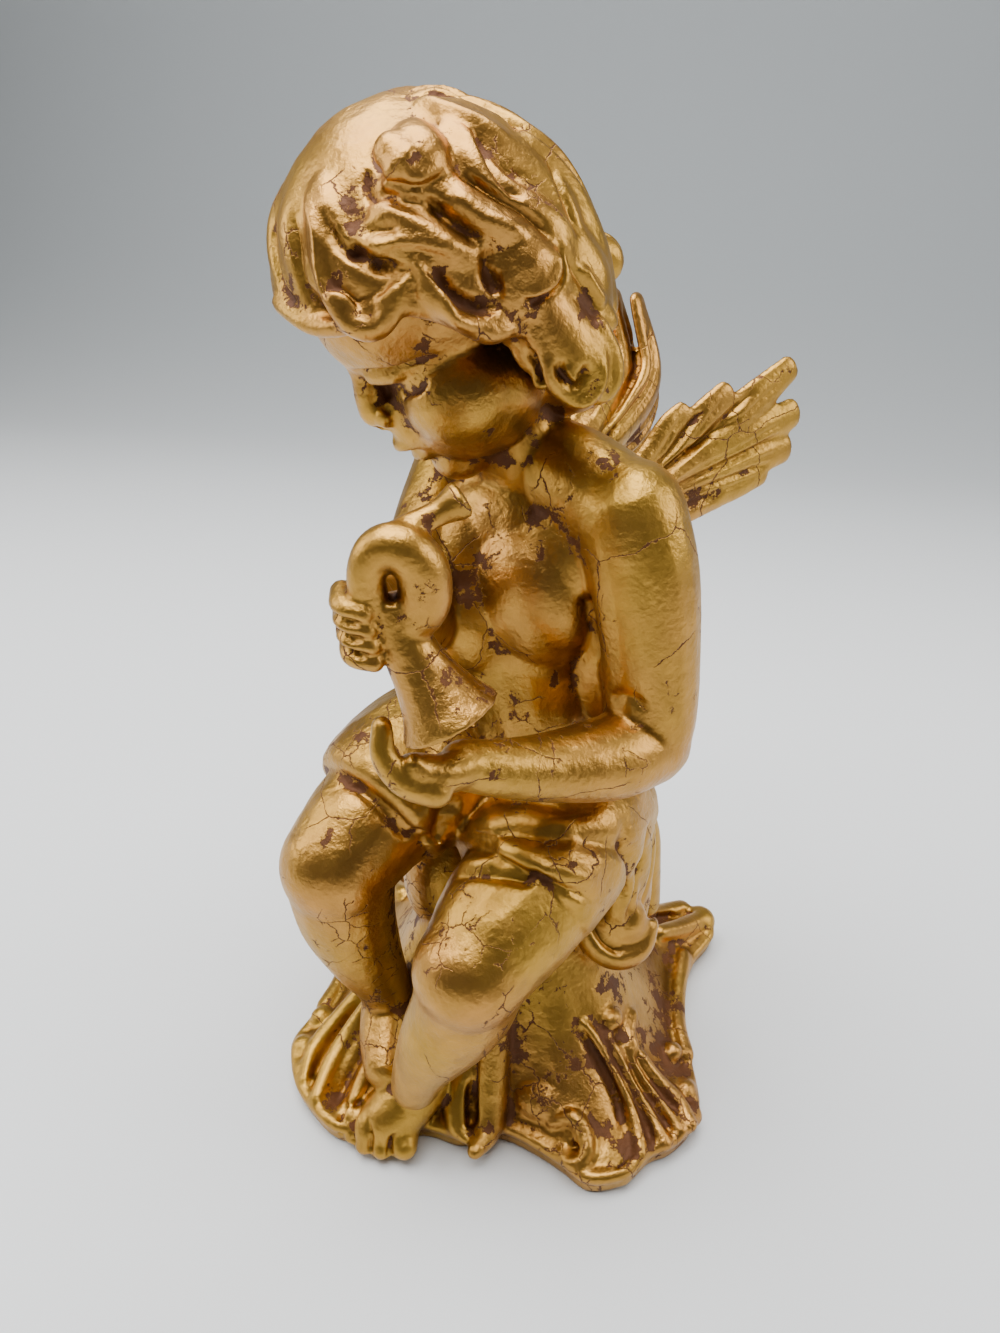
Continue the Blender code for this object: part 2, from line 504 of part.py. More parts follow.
def hair_strokes():
    """Grooves between the locks and the strands that the comb left in them."""
    strokes = [
        ([(23.5, -4, 40), (27, -4.5, 36), (30.5, -5.5, 30)], 0.9, 1.2),
        ([(17, 6, 41), (24, 4.5, 38), (30, 1.5, 32), (31, -1, 28)], 1.4, 1),
        ([(14, -3, 43), (21, -8, 38), (25, -10, 33)], 1.8, 1.4),
        ([(28.5, -4, 25), (31, -3.5, 21), (32.5, 1, 16), (33.5, 4, 12)], 1.6, 1.4),
        ([(24, -24.5, 26), (28, -20, 23.5), (31, -16, 20), (32.5, -12.5, 17)], 2.4, 1),
        ([(33, -4, 10), (35, -4, 5), (35.5, -1, -2), (34.5, 5, -6), (32.5, 11, -5)], 1.4, 1.5),
        ([(32, 3, 13.5), (34.5, 2.5, 9), (35.5, 3.5, 4)], 2, 2.2),
        ([(34.5, 4, 8), (35, 5.5, 5), (34.5, 8, 6), (34, 8.5, 9)], 1.4, 1.8),
        ([(11, -20, 43), (17, -21.5, 39), (21, -24, 34), (24.5, -24.5, 29)], 1.6, 1.3),
        ([(14, -10, 43.5), (21, -13, 37.5), (23, -15, 34)], 1.4, 1),
        ([(5, -26, 42), (13, -31, 36), (16.5, -34.5, 29), (20, -35.5, 22)], 1.4, 1.7),
        ([(-2, -26, 43), (4, -35, 36), (9, -39, 29), (14, -39, 22)], 1.4, 1.6),
        ([(27, 4, 28), (29.5, 6, 22), (31, 10, 15), (30.5, 13, 10)], 1.4, 1.3),
        ([(17, 11, 36), (23, 13, 28), (26, 15, 19), (27.5, 18, 10), (27.5, 19, 2)], 1.4, 1.5),
        ([(9, 10, 40), (15, 14, 35.5), (19, 18, 28), (22, 21, 19), (25, 23, 10)], 1, 0.9),
        ([(3, 11, 43), (9.5, 16, 38), (14, 20, 31), (17, 24, 23), (20, 25, 14)], 1.5, 1.9),
        ([(35, -11, 8), (36, -7, 4)], 1.4, 1.2),
        ([(33.5, -12, 17), (34.5, -11, 12), (35.5, -8, 6)], 1.3, 1.3),
        ([(36.5, 2, -9), (37, 3, -15), (36, 7, -20)], 1.4, 2),
        ([(34, 12, -6), (33.5, 12.5, -13), (34, 11, -18)], 1.2, 1.4),
        ([(28, 20, -2), (25, 22, -10), (22, 24, -18)], 1.3, 1.4),
    ]
    for k in range(26):
        turn = 148 + 8 * k
        lean = 7 * math.sin(0.97 * k)
        points = []
        for share in (0.12, 0.35, 0.6, 0.8, 1):
            side = turn + lean * math.sin(3.4 * share)
            low = math.acos(hem_height(side) / CAP[2])
            points.append(tuple(on_cap(side, CAP[2] * math.cos(low * share), 1.5)))
        strokes.append((points, 1.1, 1.2 + 0.5 * math.sin(2.7 * k)))
    return strokes


def cloth():
    """The cloth over the lap: sleeves round both thighs and a band at the waist."""
    clay = Clay()
    clay.roll([(4, 16, 66, 26, 0.9), (5, 16, 84, 25, 0.9), (6, 14, 100, 23.6, 0.9),
               (6, 13, 108, 22.8, 0.9)],
              facing=CHEST_BACK)
    clay.roll([(22, 10, 92, 22), (17, -8, 92, 23.4), (11, -22, 89, 23.4), (8, -28, 87, 22.8)], tip=0.15)
    clay.roll([(-10, 20, 99, 25), (-22, 4, 105, 25.4), (-31, -10, 103.5, 24), (-35.5, -18, 100, 22.4)],
              tip=0.15)
    clay.ball((2, -6, 98), (18, 16, 13))
    return clay


def folds():
    """The falls of the cloth at the side, ending in a round lobe, and its fall over the rock behind."""
    clay = Clay()
    falls = [
        [(26, -4, 104, 4), (31, -6, 92, 5), (35, -8, 78, 5.4), (35, -9, 66, 5)],
        [(25, 8, 106, 4), (31, 8, 93, 5), (36, 8, 78, 6), (38, 6, 62, 6), (38, 2, 50, 5)],
        [(24, 20, 104, 4), (31, 22, 91, 5), (38, 22, 74, 6), (40, 22, 58, 6), (42, 22, 42, 5)],
        [(22, -8, 68, 4), (26, -11, 60, 5), (31, -13, 54, 5.4), (37, -12, 51.5, 5.2),
         (42, -9, 53, 4.4), (44, -5, 58, 3.4)],
    ]
    for fall in falls:
        clay.roll(fall)
    clay.ball((26, 8, 70), (13, 20, 27))
    clay.ball((35, -7, 60), (9, 7, 10))
    clay.ball((37, 6, 74), (7, 13, 24))
    clay.ball((-19, -3, 64), (15, 13, 21))
    rings = []
    for z, across, back in ((106, 22, 22), (94, 26, 26), (78, 31, 29), (60, 35, 31), (44, 38, 32.5),
                            (30, 40, 33.5), (12, 41, 34)):
        ring = []
        for k in range(120):
            turn = math.tau * k / 120
            behind = max(0, min(1, (math.cos(turn) + 0.3) / 0.5))
            wave = abs(math.sin(5 * turn + 0.012 * z)) + 0.4 * math.sin(11 * turn + 1 - 0.03 * z)
            reach = 0.6 + 0.4 * behind
            fall = (1 + 3.4 * (106 - z) / 94) * wave * behind
            ring.append((2 + (across * reach + fall) * math.sin(turn),
                         14 + (back * reach + fall) * math.cos(turn), z))
        rings.append(ring)
    clay.loft(rings)
    return clay


OUTLINE = [(-0.99, -0.52), (-0.91, -0.74), (-0.79, -0.88), (-0.62, -0.99), (-0.42, -0.93), (-0.24, -0.87),
           (-0.07, -0.89), (0.09, -0.81), (0.25, -0.85), (0.41, -0.93), (0.53, -1.0), (0.68, -0.93),
           (0.77, -0.79), (0.86, -0.72), (0.94, -0.59), (0.96, -0.44), (0.91, -0.18), (0.87, 0.05),
           (0.86, 0.35), (0.91, 0.62), (1.0, 0.86), (0.86, 1.0), (0.60, 0.90), (0.25, 0.85),
           (-0.25, 0.85), (-0.60, 0.90), (-0.86, 1.0), (-1.0, 0.90), (-0.97, 0.65), (-0.90, 0.30),
           (-0.91, -0.05), (-0.95, -0.34)]


def outline():
    """The base's edge as a closed curve, in metres."""
    rows = [(x * BASE_WIDTH / 2, y * BASE_DEPTH / 2) for x, y in OUTLINE]
    return spline(rows[-2:] + rows + rows[:2], 6)[12:-12]


def ring_at(share):
    """The base's outline drawn in to a share of its size, rounder towards the middle."""
    edge = outline()
    turns = np.arctan2(edge[:, 1], edge[:, 0])
    reach = np.hypot(edge[:, 0], edge[:, 1])
    half = ROUND_SHARE * np.array([BASE_WIDTH, BASE_DEPTH]) / 2
    calm = 1 / np.hypot(np.cos(turns) / half[0], np.sin(turns) / half[1])
    rippled = share ** 3
    far = share * (rippled * reach + (1 - rippled) * calm)
    return np.array([far * np.cos(turns), far * np.sin(turns)]).T


def rise_at(share):
    """Height of the base's top at a share of the way out: a seat that sweeps down to a thin rim."""
    rise = max(0, min(1, (1 - share) / (1 - SEAT_SHARE)))
    return RIM_HEIGHT + (SEAT_HEIGHT - RIM_HEIGHT) * rise ** 1.45


def mound(x, y):
    """Height of the base's top over a point, in metres."""
    turn, far = math.atan2(y, x), math.hypot(x, y)
    shares = np.linspace(0.02, 1, 40)
    reach = []
    for share in shares:
        ring = ring_at(share)
        turns = np.arctan2(ring[:, 1], ring[:, 0])
        order = np.argsort(turns)
        reach.append(np.interp(turn, turns[order], np.hypot(*ring.T)[order], period=2 * math.pi))
    return rise_at(float(np.interp(far, reach, shares)))


def base():
    clay = Clay(Matrix())
    edge = outline()
    rings = [[(x * 0.97, y * 0.97, -0.002) for x, y in edge]]
    rings.append([(x, y, 0.002) for x, y in edge])
    for share in (1, 0.97, 0.9, 0.82, 0.74, 0.66, 0.58, 0.5, 0.42, 0.34, 0.2, 0.05):
        rings.append([(x, y, rise_at(share)) for x, y in ring_at(share)])
    clay.loft(rings)
    rim = [(x * 0.985, y * 0.985, RIM_HEIGHT - 0.001, RIM_ROLL) for x, y in edge[::3]]
    clay.roll(rim + rim[:2], facing=(0, 0, 1), steps=3, sides=10)
    return clay


def on_base(points):
    """Points of x, y, radius in units, laid on the mound."""
    rows = []
    for x, y, r in points:
        rows.append((x, y, mound(x * UNIT, y * UNIT) / UNIT + 0.2 * r, r))
    return rows


def ornament():
    """Scrolls, leaf ribs, flutes and the tongue of the rococo base."""
    clay = Clay()
    lines = [
        [(2, -25, 4), (1, -33, 5.6), (2, -42, 6), (3, -49, 4.8), (1, -57, 2.6)],
        [(-5, -38, 3), (-7, -44, 4.4), (-6, -50, 3.8), (-3, -53, 2.2)],
        [(22, -46, 1.8), (28, -45, 2.4), (32, -48, 2.6), (33, -53, 2.4), (29, -55, 2), (26, -52, 1.6)],
        [(42, -13, 2), (42, -21, 2.6), (50, -26, 2.9), (58, -29, 2.8), (63, -35, 2.2)],
        [(40, -24, 2), (48, -29, 2.6), (54, -33, 2.6), (60, -38, 2)],
        [(35, -25, 2), (43, -31, 2.6), (50, -36, 2.6), (56, -43, 2)],
        [(28, -26, 1.8), (36, -29, 2.4), (43, -34, 2.6), (47, -41, 2.6), (49, -48, 2)],
        [(57, 32, 3), (56, 14, 3), (57, 0, 3), (60, -10, 3)],
        [(-37, -20, 2.4), (-46, -30, 3), (-50, -40, 3), (-51, -50, 2.4)],
        [(-44, -14, 2.4), (-53, -25, 3), (-58, -34, 2.8), (-57, -44, 2.2)],
        [(-30, -28, 2), (-35, -37, 2.4), (-38, -46, 2.4), (-39, -54, 2)],
        [(-60, 8, 3), (-60, -6, 3), (-61, -16, 3.2)],
        [(48, 34, 3), (56, 44, 4), (63, 53, 4)], [(40, 40, 3), (48, 50, 4), (55, 56, 4)],
        [(-48, 34, 3), (-56, 44, 4), (-63, 53, 4)], [(-38, 38, 3), (-46, 48, 4), (-54, 56, 4)],
        [(20, 42, 3), (14, 48, 3.5), (0, 50, 4), (-14, 48, 3.5), (-20, 42, 3)],
        [(-56, 26, 2.5), (-57, 14, 3)],
    ]
    for line in lines:
        clay.roll(on_base(line))
    for x, y, z, r in ((38, -50, 7, 4), (43.5, -52, 4.5, 4), (35.5, -19.5, 31, 4), (55.5, -13, 13, 3.4),
                       (60.5, -23, 8.5, 3.8), (63, -30, 6, 3.6), (62, 53, 8, 6), (-62, 53, 8, 6),
                       (-60.5, -21, 10, 3.6), (-62.5, -32, 8, 4), (-59.5, -40, 7, 3.6)):
        clay.ball((x, y, z), (r, r, r * 0.9))
    clay.ball((19, -34, 13), (13, 12, 9))
    return clay


CREASES = [
    ([(-46, -20, 112), (-42, -27, 115), (-37, -29, 115), (-30, -32, 112), (-25, -33, 107),
      (-20, -33, 102),
      (-16, -31, 98)], 1.6, 1.4),
    ([(-15, -30, 95), (-8, -33, 99), (1, -36, 104), (10, -37, 105), (19, -36, 102), (26, -33, 98),
      (33, -27, 88)], 2.4, -1.2),
    ([(-16, -34, 94), (-8, -37, 97), (1, -40, 102), (10, -41, 103), (19, -40, 100), (26, -37, 96),
      (33, -30, 85)], 1.6, 1.6),
    ([(-17, -31, 96), (-17, -26, 101), (-15, -24, 107), (-11, -20, 111)], 3.4, 3),
    ([(-14, -24, 100), (-5, -29, 104), (6, -31, 107), (16, -30, 106), (24, -26, 103)], 3.2, 2.2),
    ([(-6, -16, 107), (6, -20, 111), (18, -21, 111), (28, -18, 107)], 3.2, 1.8),
    ([(20, -29, 107), (28, -24, 103), (34, -17, 96), (37, -11, 86)], 3, 2.2),
    ([(-22, -26, 108), (-24, -20, 114), (-24, -12, 119)], 3, 1.6),
    ([(20.5, -8, 172), (21.5, -9, 164), (22.5, -9, 156), (23, -8, 148)], 1.8, 2.2),
    ([(28, -15, 143), (33, -18, 147), (40, -19, 144)], 1.6, 1),
    ([(33, -16, 106), (36, -18, 96), (37, -16, 84), (36, -14, 72)], 2.2, 2.2),
    ([(40, -2, 98), (41, -6, 86), (40, -10, 74), (38, -14, 62)], 2, 2.4),
    ([(42, 6, 90), (43, 3, 76), (43, -2, 64), (42, -7, 56)], 2, 2.4),
    ([(26, -12, 66), (31, -15, 58), (38, -15, 54)], 1.6, 1.8),
]


def fine_strokes():
    """Grooves between the ribs and flutes of the base, between the toes and along the fist."""
    lines = [([(41, -17, 1), (45, -25, 1), (53, -30, 1), (60, -34, 1)], 1.2, 1.6),
             ([(38, -22, 1), (46, -30, 1), (52, -35, 1), (58, -41, 1)], 1.2, 1.6),
             ([(32, -25, 1), (40, -30, 1), (47, -37, 1), (52, -45, 1)], 1.2, 1.6),
             ([(24, -26, 1), (33, -30, 1), (40, -36, 1), (43, -44, 1)], 1.4, 1.4),
             ([(-32, -24, 1), (-40, -35, 1), (-44, -45, 1), (-45, -54, 1)], 2, 2.6),
             ([(-40, -17, 1), (-50, -28, 1), (-54, -38, 1), (-54, -48, 1)], 1.4, 1.8),
             ([(0, -34, 4), (1, -42, 5), (1, -50, 4)], 1.2, 1.6),
             ([(-3, -40, 3), (-3, -46, 4), (-1, -52, 2)], 1.2, 1.8),
             ([(30, -50, 2), (29, -52, 2)], 1.4, 1.8), ([(43, -52, 4), (44, -53, 3)], 1.4, 1.8),
             ([(50, 38, 2), (57, 48, 2), (61, 54, 2)], 1.6, 1.6), ([(44, 42, 2), (52, 52, 2)], 1.4, 1.4),
             ([(-50, 38, 2), (-57, 48, 2), (-61, 54, 2)], 1.6, 1.6),
             ([(-42, 42, 2), (-50, 52, 2)], 1.4, 1.4)]
    strokes = [([row[:3] for row in on_base(points)], width, depth) for points, width, depth in lines]
    for x, y in ((-40, -57), (-35.4, -60.4), (-30, -62.4), (-24.4, -62)):
        strokes.append(([(x * 0.8 - 5, y + 9, 11), (x, y + 3, 8), (x, y, 4)], 0.8, 1.6))
    for k in range(3):
        z = 186.8 - 3.7 * k
        gap = [(-28 + 0.4 * k, -58, z), (-25 + 0.5 * k, -65, z - 0.6), (-17 + 0.6 * k, -67, z - 1)]
        strokes.append((gap, 0.8, 1.5))
    return strokes


def take_away(mesh, cutter):
    """Cuts one mesh out of another."""
    body = bpy.data.objects.new("body", mesh)
    tool = bpy.data.objects.new("tool", cutter)
    for item in (body, tool):
        bpy.context.scene.collection.objects.link(item)
    cut = body.modifiers.new("cut", "BOOLEAN")
    cut.operation = "DIFFERENCE"
    cut.object = tool
    result = bpy.data.meshes.new_from_object(body.evaluated_get(bpy.context.evaluated_depsgraph_get()))
    for item in (body, tool):
        bpy.data.objects.remove(item)
    return result


def as_clay(mesh):
    clay = Clay()
    clay.add(mesh)
    return clay


def paint(item):
    """Gold leaf over a brown ground."""
    gilding = bpy.data.materials.new("gold_leaf")
    gilding.use_nodes = True
    shader = gilding.node_tree.nodes["Principled BSDF"]
    shader.inputs["Base Color"].default_value = GOLD
    shader.inputs["Metallic"].default_value = 0.9
    shader.inputs["Roughness"].default_value = 0.38
    item.data.materials.append(gilding)


def stand_flat(figure):
    """Trims the casting flat where it stands, with a box that is taken out of it."""
    cutters = bpy.data.collections.new("cutters")
    bpy.context.scene.collection.children.link(cutters)
    depth = 4 * RIM_HEIGHT
    bpy.ops.mesh.primitive_cube_add(size=1, location=(0, 0, -depth / 2))
    floor = bpy.context.object
    floor.name = "floor_cutter"
    floor.scale = (2 * BASE_WIDTH, 2 * BASE_DEPTH, depth)
    for owner in list(floor.users_collection):
        owner.objects.unlink(floor)
    cutters.objects.link(floor)
    floor.hide_render = True
    floor.display_type = "WIRE"
    trim = figure.modifiers.new("underside", "BOOLEAN")
    trim.operation = "DIFFERENCE"
    trim.object = floor


def build():
    for item in list(bpy.data.objects):
        bpy.data.objects.remove(item)
    home = bpy.data.collections.new("cherub_figurine")
    bpy.context.scene.collection.children.link(home)
    limbs = as_clay(fuse([flesh(), feet()], GRAIN, 10))
    wrap = as_clay(fuse([cloth(), folds()], GRAIN, 6))
    head = as_clay(fuse([as_clay(fuse([skull()], GRAIN, 12)), features()], GRAIN * 0.8, 2))
    locks = as_clay(fuse([cap(), hair()], GRAIN * 0.8, 2))
    wings = as_clay(fuse([left_wing(), right_wing()], GRAIN * 0.8, 2))
    ground = as_clay(fuse([base(), ornament()], GRAIN, 3))
    instrument = as_clay(take_away(fuse([horn()], GRAIN * 0.6, 3), fuse([horn_mouth()], GRAIN * 0.6, 1)))
    skin = fuse([limbs, wrap, head, locks, wings, ground, instrument, hands()], GRAIN, 2)
    carve(skin, CREASES + fine_strokes() + feather_strokes())
    carve(skin, face_strokes() + hair_strokes(), HEAD)
    cherub = bpy.data.objects.new("cherub_figurine", skin)
    home.objects.link(cherub)
    thin = cherub.modifiers.new("facets", "DECIMATE")
    thin.ratio = TRIANGLES / (2 * len(skin.polygons))
    stand_flat(cherub)
    paint(cherub)
    for polygon in skin.polygons:
        polygon.use_smooth = True


if __name__ == "__main__":
    build()
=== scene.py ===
import math

import bmesh
import bpy
import numpy as np
from mathutils import Euler, Matrix, Vector
from mathutils.bvhtree import BVHTree


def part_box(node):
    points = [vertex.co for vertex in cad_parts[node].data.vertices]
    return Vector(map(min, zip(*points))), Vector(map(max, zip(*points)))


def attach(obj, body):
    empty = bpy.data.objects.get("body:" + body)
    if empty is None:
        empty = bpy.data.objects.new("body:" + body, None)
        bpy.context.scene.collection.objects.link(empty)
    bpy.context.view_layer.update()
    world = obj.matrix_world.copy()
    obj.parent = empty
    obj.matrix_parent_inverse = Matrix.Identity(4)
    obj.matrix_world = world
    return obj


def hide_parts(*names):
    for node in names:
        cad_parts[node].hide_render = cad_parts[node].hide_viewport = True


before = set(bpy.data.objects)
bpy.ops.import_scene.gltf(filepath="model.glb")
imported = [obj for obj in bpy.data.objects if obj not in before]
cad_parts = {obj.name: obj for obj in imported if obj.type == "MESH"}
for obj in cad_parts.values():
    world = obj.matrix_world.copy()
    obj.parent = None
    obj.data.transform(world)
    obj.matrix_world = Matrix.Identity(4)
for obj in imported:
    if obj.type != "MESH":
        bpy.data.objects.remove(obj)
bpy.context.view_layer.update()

# Camera and stage.
# A hand-held phone looked down at the figure from its left side, close by, over a white table
# with a grey wall behind. A matt sheet sweeps up from the floor into that wall.
bpy.ops.object.select_all(action="DESELECT")
bpy.ops.object.camera_add(location=(0.0465, -0.2356, 0.280),
                          rotation=(math.radians(60), 0, math.radians(12)))
camera = bpy.context.object
camera.data.sensor_fit = "VERTICAL"
camera.data.sensor_height = 36
camera.data.lens = 27
camera.data.clip_start = 0.01
bpy.context.scene.camera = camera


def linear(code):
    """A hex sRGB colour as linear red, green, blue and alpha."""
    parts = [int(code[i:i + 2], 16) / 255 for i in (1, 3, 5)]
    return (*[part / 12.92 if part <= 0.04045 else ((part + 0.055) / 1.055) ** 2.4 for part in parts], 1)


def add_node(tree, kind, inputs=None, **settings):
    """A node with its settings, and each input as a value or a link."""
    node = tree.nodes.new("ShaderNode" + kind)
    for name, value in settings.items():
        setattr(node, name, value)
    for key, value in (inputs or {}).items():
        if isinstance(value, bpy.types.NodeSocket):
            tree.links.new(value, node.inputs[key])
        else:
            node.inputs[key].default_value = value
    return node


sheet_width, sheet_depth, sheet_front, sweep_radius, wall_height = 4.0, 0.95, 1.5, 0.35, 1.5
back_edge = sheet_depth - 0.01
bpy.ops.mesh.primitive_plane_add(size=1, location=(0, 0, 0))
floor = bpy.context.object
floor.name = "paper_sweep"
bpy.ops.object.mode_set(mode="EDIT")
bpy.ops.transform.resize(value=(sheet_width, sheet_depth + sheet_front, 1))
bpy.ops.transform.translate(value=(0, (sheet_depth - sheet_front) / 2, 0))
bpy.ops.object.mode_set(mode="OBJECT")
for edge in floor.data.edges:
    ends = [floor.data.vertices[i].co for i in edge.vertices]
    edge.select = all(end.y > back_edge for end in ends)
for polygon in floor.data.polygons:
    polygon.select = False
for vertex in floor.data.vertices:
    vertex.select = vertex.co.y > back_edge
bpy.ops.object.mode_set(mode="EDIT")
bpy.ops.mesh.select_mode(type="EDGE")
bpy.ops.mesh.extrude_region_move(TRANSFORM_OT_translate={"value": (0, 0, wall_height)})
bpy.ops.object.mode_set(mode="OBJECT")
sweep = floor.modifiers.new("sweep", "BEVEL")
sweep.width = sweep_radius
sweep.segments = 16
bpy.ops.object.modifier_apply(modifier="sweep")
bpy.ops.object.shade_smooth()
paper = bpy.data.materials.new("matt white paper")
paper.use_nodes = True
# Matt paper: white by the figure, grey towards the wall, and no gloss that the eye can find.
tree = paper.node_tree
shader = tree.nodes["Principled BSDF"]
spot = add_node(tree, "TexCoord")
along = add_node(tree, "SeparateXYZ", {0: spot.outputs["Object"]})
away = add_node(tree, "MapRange", {"Value": along.outputs["Y"], 1: 0.2, 2: 0.9},
                interpolation_type="SMOOTHSTEP")
tone = add_node(tree, "Mix", {0: away.outputs[0], 6: linear("#d8dadb"), 7: linear("#94989a")},
                data_type="RGBA")
tree.links.new(tone.outputs[2], shader.inputs["Base Color"])
shader.inputs["Roughness"].default_value = 0.9
floor.data.materials.append(paper)

# The plinth.
# A rococo base of scrolls, leaf ribs and flutes, cast in one with the figure and flat where it
# stands. Its thin rolled edge sweeps up to the rock that the child sits on.
FIGURE_HEIGHT = 0.280
BASE_WIDTH = 0.134
BASE_DEPTH = 0.116
RIM_HEIGHT = 0.008
RIM_ROLL = 0.0022
SEAT_HEIGHT = 0.070
SEAT_SHARE = 0.36
ROUND_SHARE = 0.87
GRAIN = 0.00075
FINE_GRAIN = GRAIN * 0.8
UNIT = FIGURE_HEIGHT / 280
BODY = Matrix.Scale(UNIT, 4)


def spline(points, steps):
    """A smooth curve through rows of numbers."""
    p = np.array(points, float)
    p = np.vstack([2 * p[0] - p[1], p, 2 * p[-1] - p[-2]])
    curve = []
    for i in range(1, len(p) - 2):
        for t in np.linspace(0, 1, steps, endpoint=False):
            line = 2 * p[i] + (p[i + 1] - p[i - 1]) * t
            bend = (2 * p[i - 1] - 5 * p[i] + 4 * p[i + 1] - p[i + 2]) * t * t
            twist = (3 * p[i] - p[i - 1] - 3 * p[i + 1] + p[i + 2]) * t ** 3
            curve.append((line + bend + twist) / 2)
    curve.append(p[-2])
    return np.array(curve)


def unit(rows):
    return rows / np.maximum(np.linalg.norm(rows, axis=1), 1e-9)[:, None]


class Clay:
    """Lumps and rolls that overlap, in one set of axes, ready to be pressed into one body."""

    def __init__(self, place=BODY):
        self.mesh = bmesh.new()
        self.place = place

    def ball(self, at, radii, turn=(0, 0, 0)):
        spin = Euler([math.radians(angle) for angle in turn]).to_matrix().to_4x4()
        shape = Matrix.Translation(at) @ spin @ Matrix.Diagonal((*radii, 1))
        bmesh.ops.create_icosphere(self.mesh, subdivisions=4, radius=1, matrix=self.place @ shape)

    def roll(self, points, facing=None, away=None, steps=6, sides=16, tip=1.0):
        """A roll through rows of x, y, z, radius and, if flattened, thickness share.

        The thickness is measured along facing, a direction, or away from a point that it lies
        over. A tip of 1 makes the ends round, and one near nought cuts them off square.
        """
        rows = spline(points, steps)
        path, radius = rows[:, :3], np.maximum(rows[:, 3], 1e-5)
        share = rows[:, 4] if rows.shape[1] > 4 else np.ones(len(rows))
        along = unit(np.gradient(path, axis=0))
        if away is not None:
            out = path - np.array(away, float)
        else:
            out = np.tile(np.array(facing if facing is not None else (0.31, 0.87, 0.38), float),
                          (len(path), 1))
        out = unit(out - (out * along).sum(1)[:, None] * along)
        side = np.cross(along, out)
        rings = [(path[i], radius[i], share[i], side[i], out[i]) for i in range(len(path))]
        for angle in (25, 50, 75):
            sink, swell = tip * math.sin(math.radians(angle)), math.cos(math.radians(angle))
            for end, way in ((0, -1), (-1, 1)):
                spot = path[end] + way * along[end] * radius[end] * sink * min(1, share[end] + 0.2)
                ring = (spot, radius[end] * swell, share[end], side[end], out[end])
                rings = rings + [ring] if end else [ring] + rings
        self.loft([[centre + r * math.cos(a) * across + r * flat * math.sin(a) * outward
                    for a in np.linspace(0, 2 * math.pi, sides, endpoint=False)]
                   for centre, r, flat, across, outward in rings])

    def loft(self, rings):
        """A closed skin over rings of as many points each."""
        new = self.mesh.verts.new
        rows = [[new(self.place @ Vector(point)) for point in ring] for ring in rings]
        count = len(rows[0])
        faces = []
        for low, high in zip(rows, rows[1:]):
            for i in range(count):
                j = (i + 1) % count
                faces.append(self.mesh.faces.new((low[i], low[j], high[j], high[i])))
        faces.append(self.mesh.faces.new(rows[0][::-1]))
        faces.append(self.mesh.faces.new(rows[-1]))
        bmesh.ops.recalc_face_normals(self.mesh, faces=faces)

    def add(self, mesh):
        self.mesh.from_mesh(mesh)


def fuse(clays, grain, smooth, factor=0.5):
    """Presses the clay into one skin of even grain and smooths it."""
    mesh = bpy.data.meshes.new("clay")
    whole = bmesh.new()
    for clay in clays:
        lump = bpy.data.meshes.new("lump")
        clay.mesh.to_mesh(lump)
        whole.from_mesh(lump)
        bpy.data.meshes.remove(lump)
    whole.to_mesh(mesh)
    body = bpy.data.objects.new("clay", mesh)
    bpy.context.scene.collection.objects.link(body)
    remesh = body.modifiers.new("press", "REMESH")
    remesh.mode = "VOXEL"
    remesh.voxel_size = grain
    if smooth:
        soft = body.modifiers.new("smooth", "SMOOTH")
        soft.factor = factor
        soft.iterations = smooth
    skin = bpy.data.meshes.new_from_object(body.evaluated_get(bpy.context.evaluated_depsgraph_get()))
    bpy.data.objects.remove(body)
    bpy.data.meshes.remove(mesh)
    return skin


def as_clay(mesh):
    clay = Clay()
    clay.add(mesh)
    return clay


OUTLINE = [(-0.99, -0.52), (-0.91, -0.74), (-0.79, -0.88), (-0.62, -0.99), (-0.42, -0.93), (-0.24, -0.87),
           (-0.07, -0.89), (0.09, -0.81), (0.25, -0.85), (0.41, -0.93), (0.53, -1.0), (0.68, -0.93),
           (0.77, -0.79), (0.86, -0.72), (0.94, -0.59), (0.96, -0.44), (0.91, -0.18), (0.87, 0.05),
           (0.86, 0.35), (0.91, 0.62), (1.0, 0.86), (0.86, 1.0), (0.60, 0.90), (0.25, 0.85),
           (-0.25, 0.85), (-0.60, 0.90), (-0.86, 1.0), (-1.0, 0.90), (-0.97, 0.65), (-0.90, 0.30),
           (-0.91, -0.05), (-0.95, -0.34)]


def outline():
    """The base's edge as a closed curve, in metres."""
    rows = [(x * BASE_WIDTH / 2, y * BASE_DEPTH / 2) for x, y in OUTLINE]
    return spline(rows[-2:] + rows + rows[:2], 6)[12:-12]


def ring_at(share):
    """The base's outline drawn in to a share of its size, rounder towards the middle."""
    edge = outline()
    turns = np.arctan2(edge[:, 1], edge[:, 0])
    reach = np.hypot(edge[:, 0], edge[:, 1])
    half = ROUND_SHARE * np.array([BASE_WIDTH, BASE_DEPTH]) / 2
    calm = 1 / np.hypot(np.cos(turns) / half[0], np.sin(turns) / half[1])
    rippled = share ** 3
    far = share * (rippled * reach + (1 - rippled) * calm)
    return np.array([far * np.cos(turns), far * np.sin(turns)]).T


def rise_at(share):
    """Height of the base's top at a share of the way out: a seat that sweeps down to a thin rim."""
    rise = max(0, min(1, (1 - share) / (1 - SEAT_SHARE)))
    return RIM_HEIGHT + (SEAT_HEIGHT - RIM_HEIGHT) * rise ** 1.45


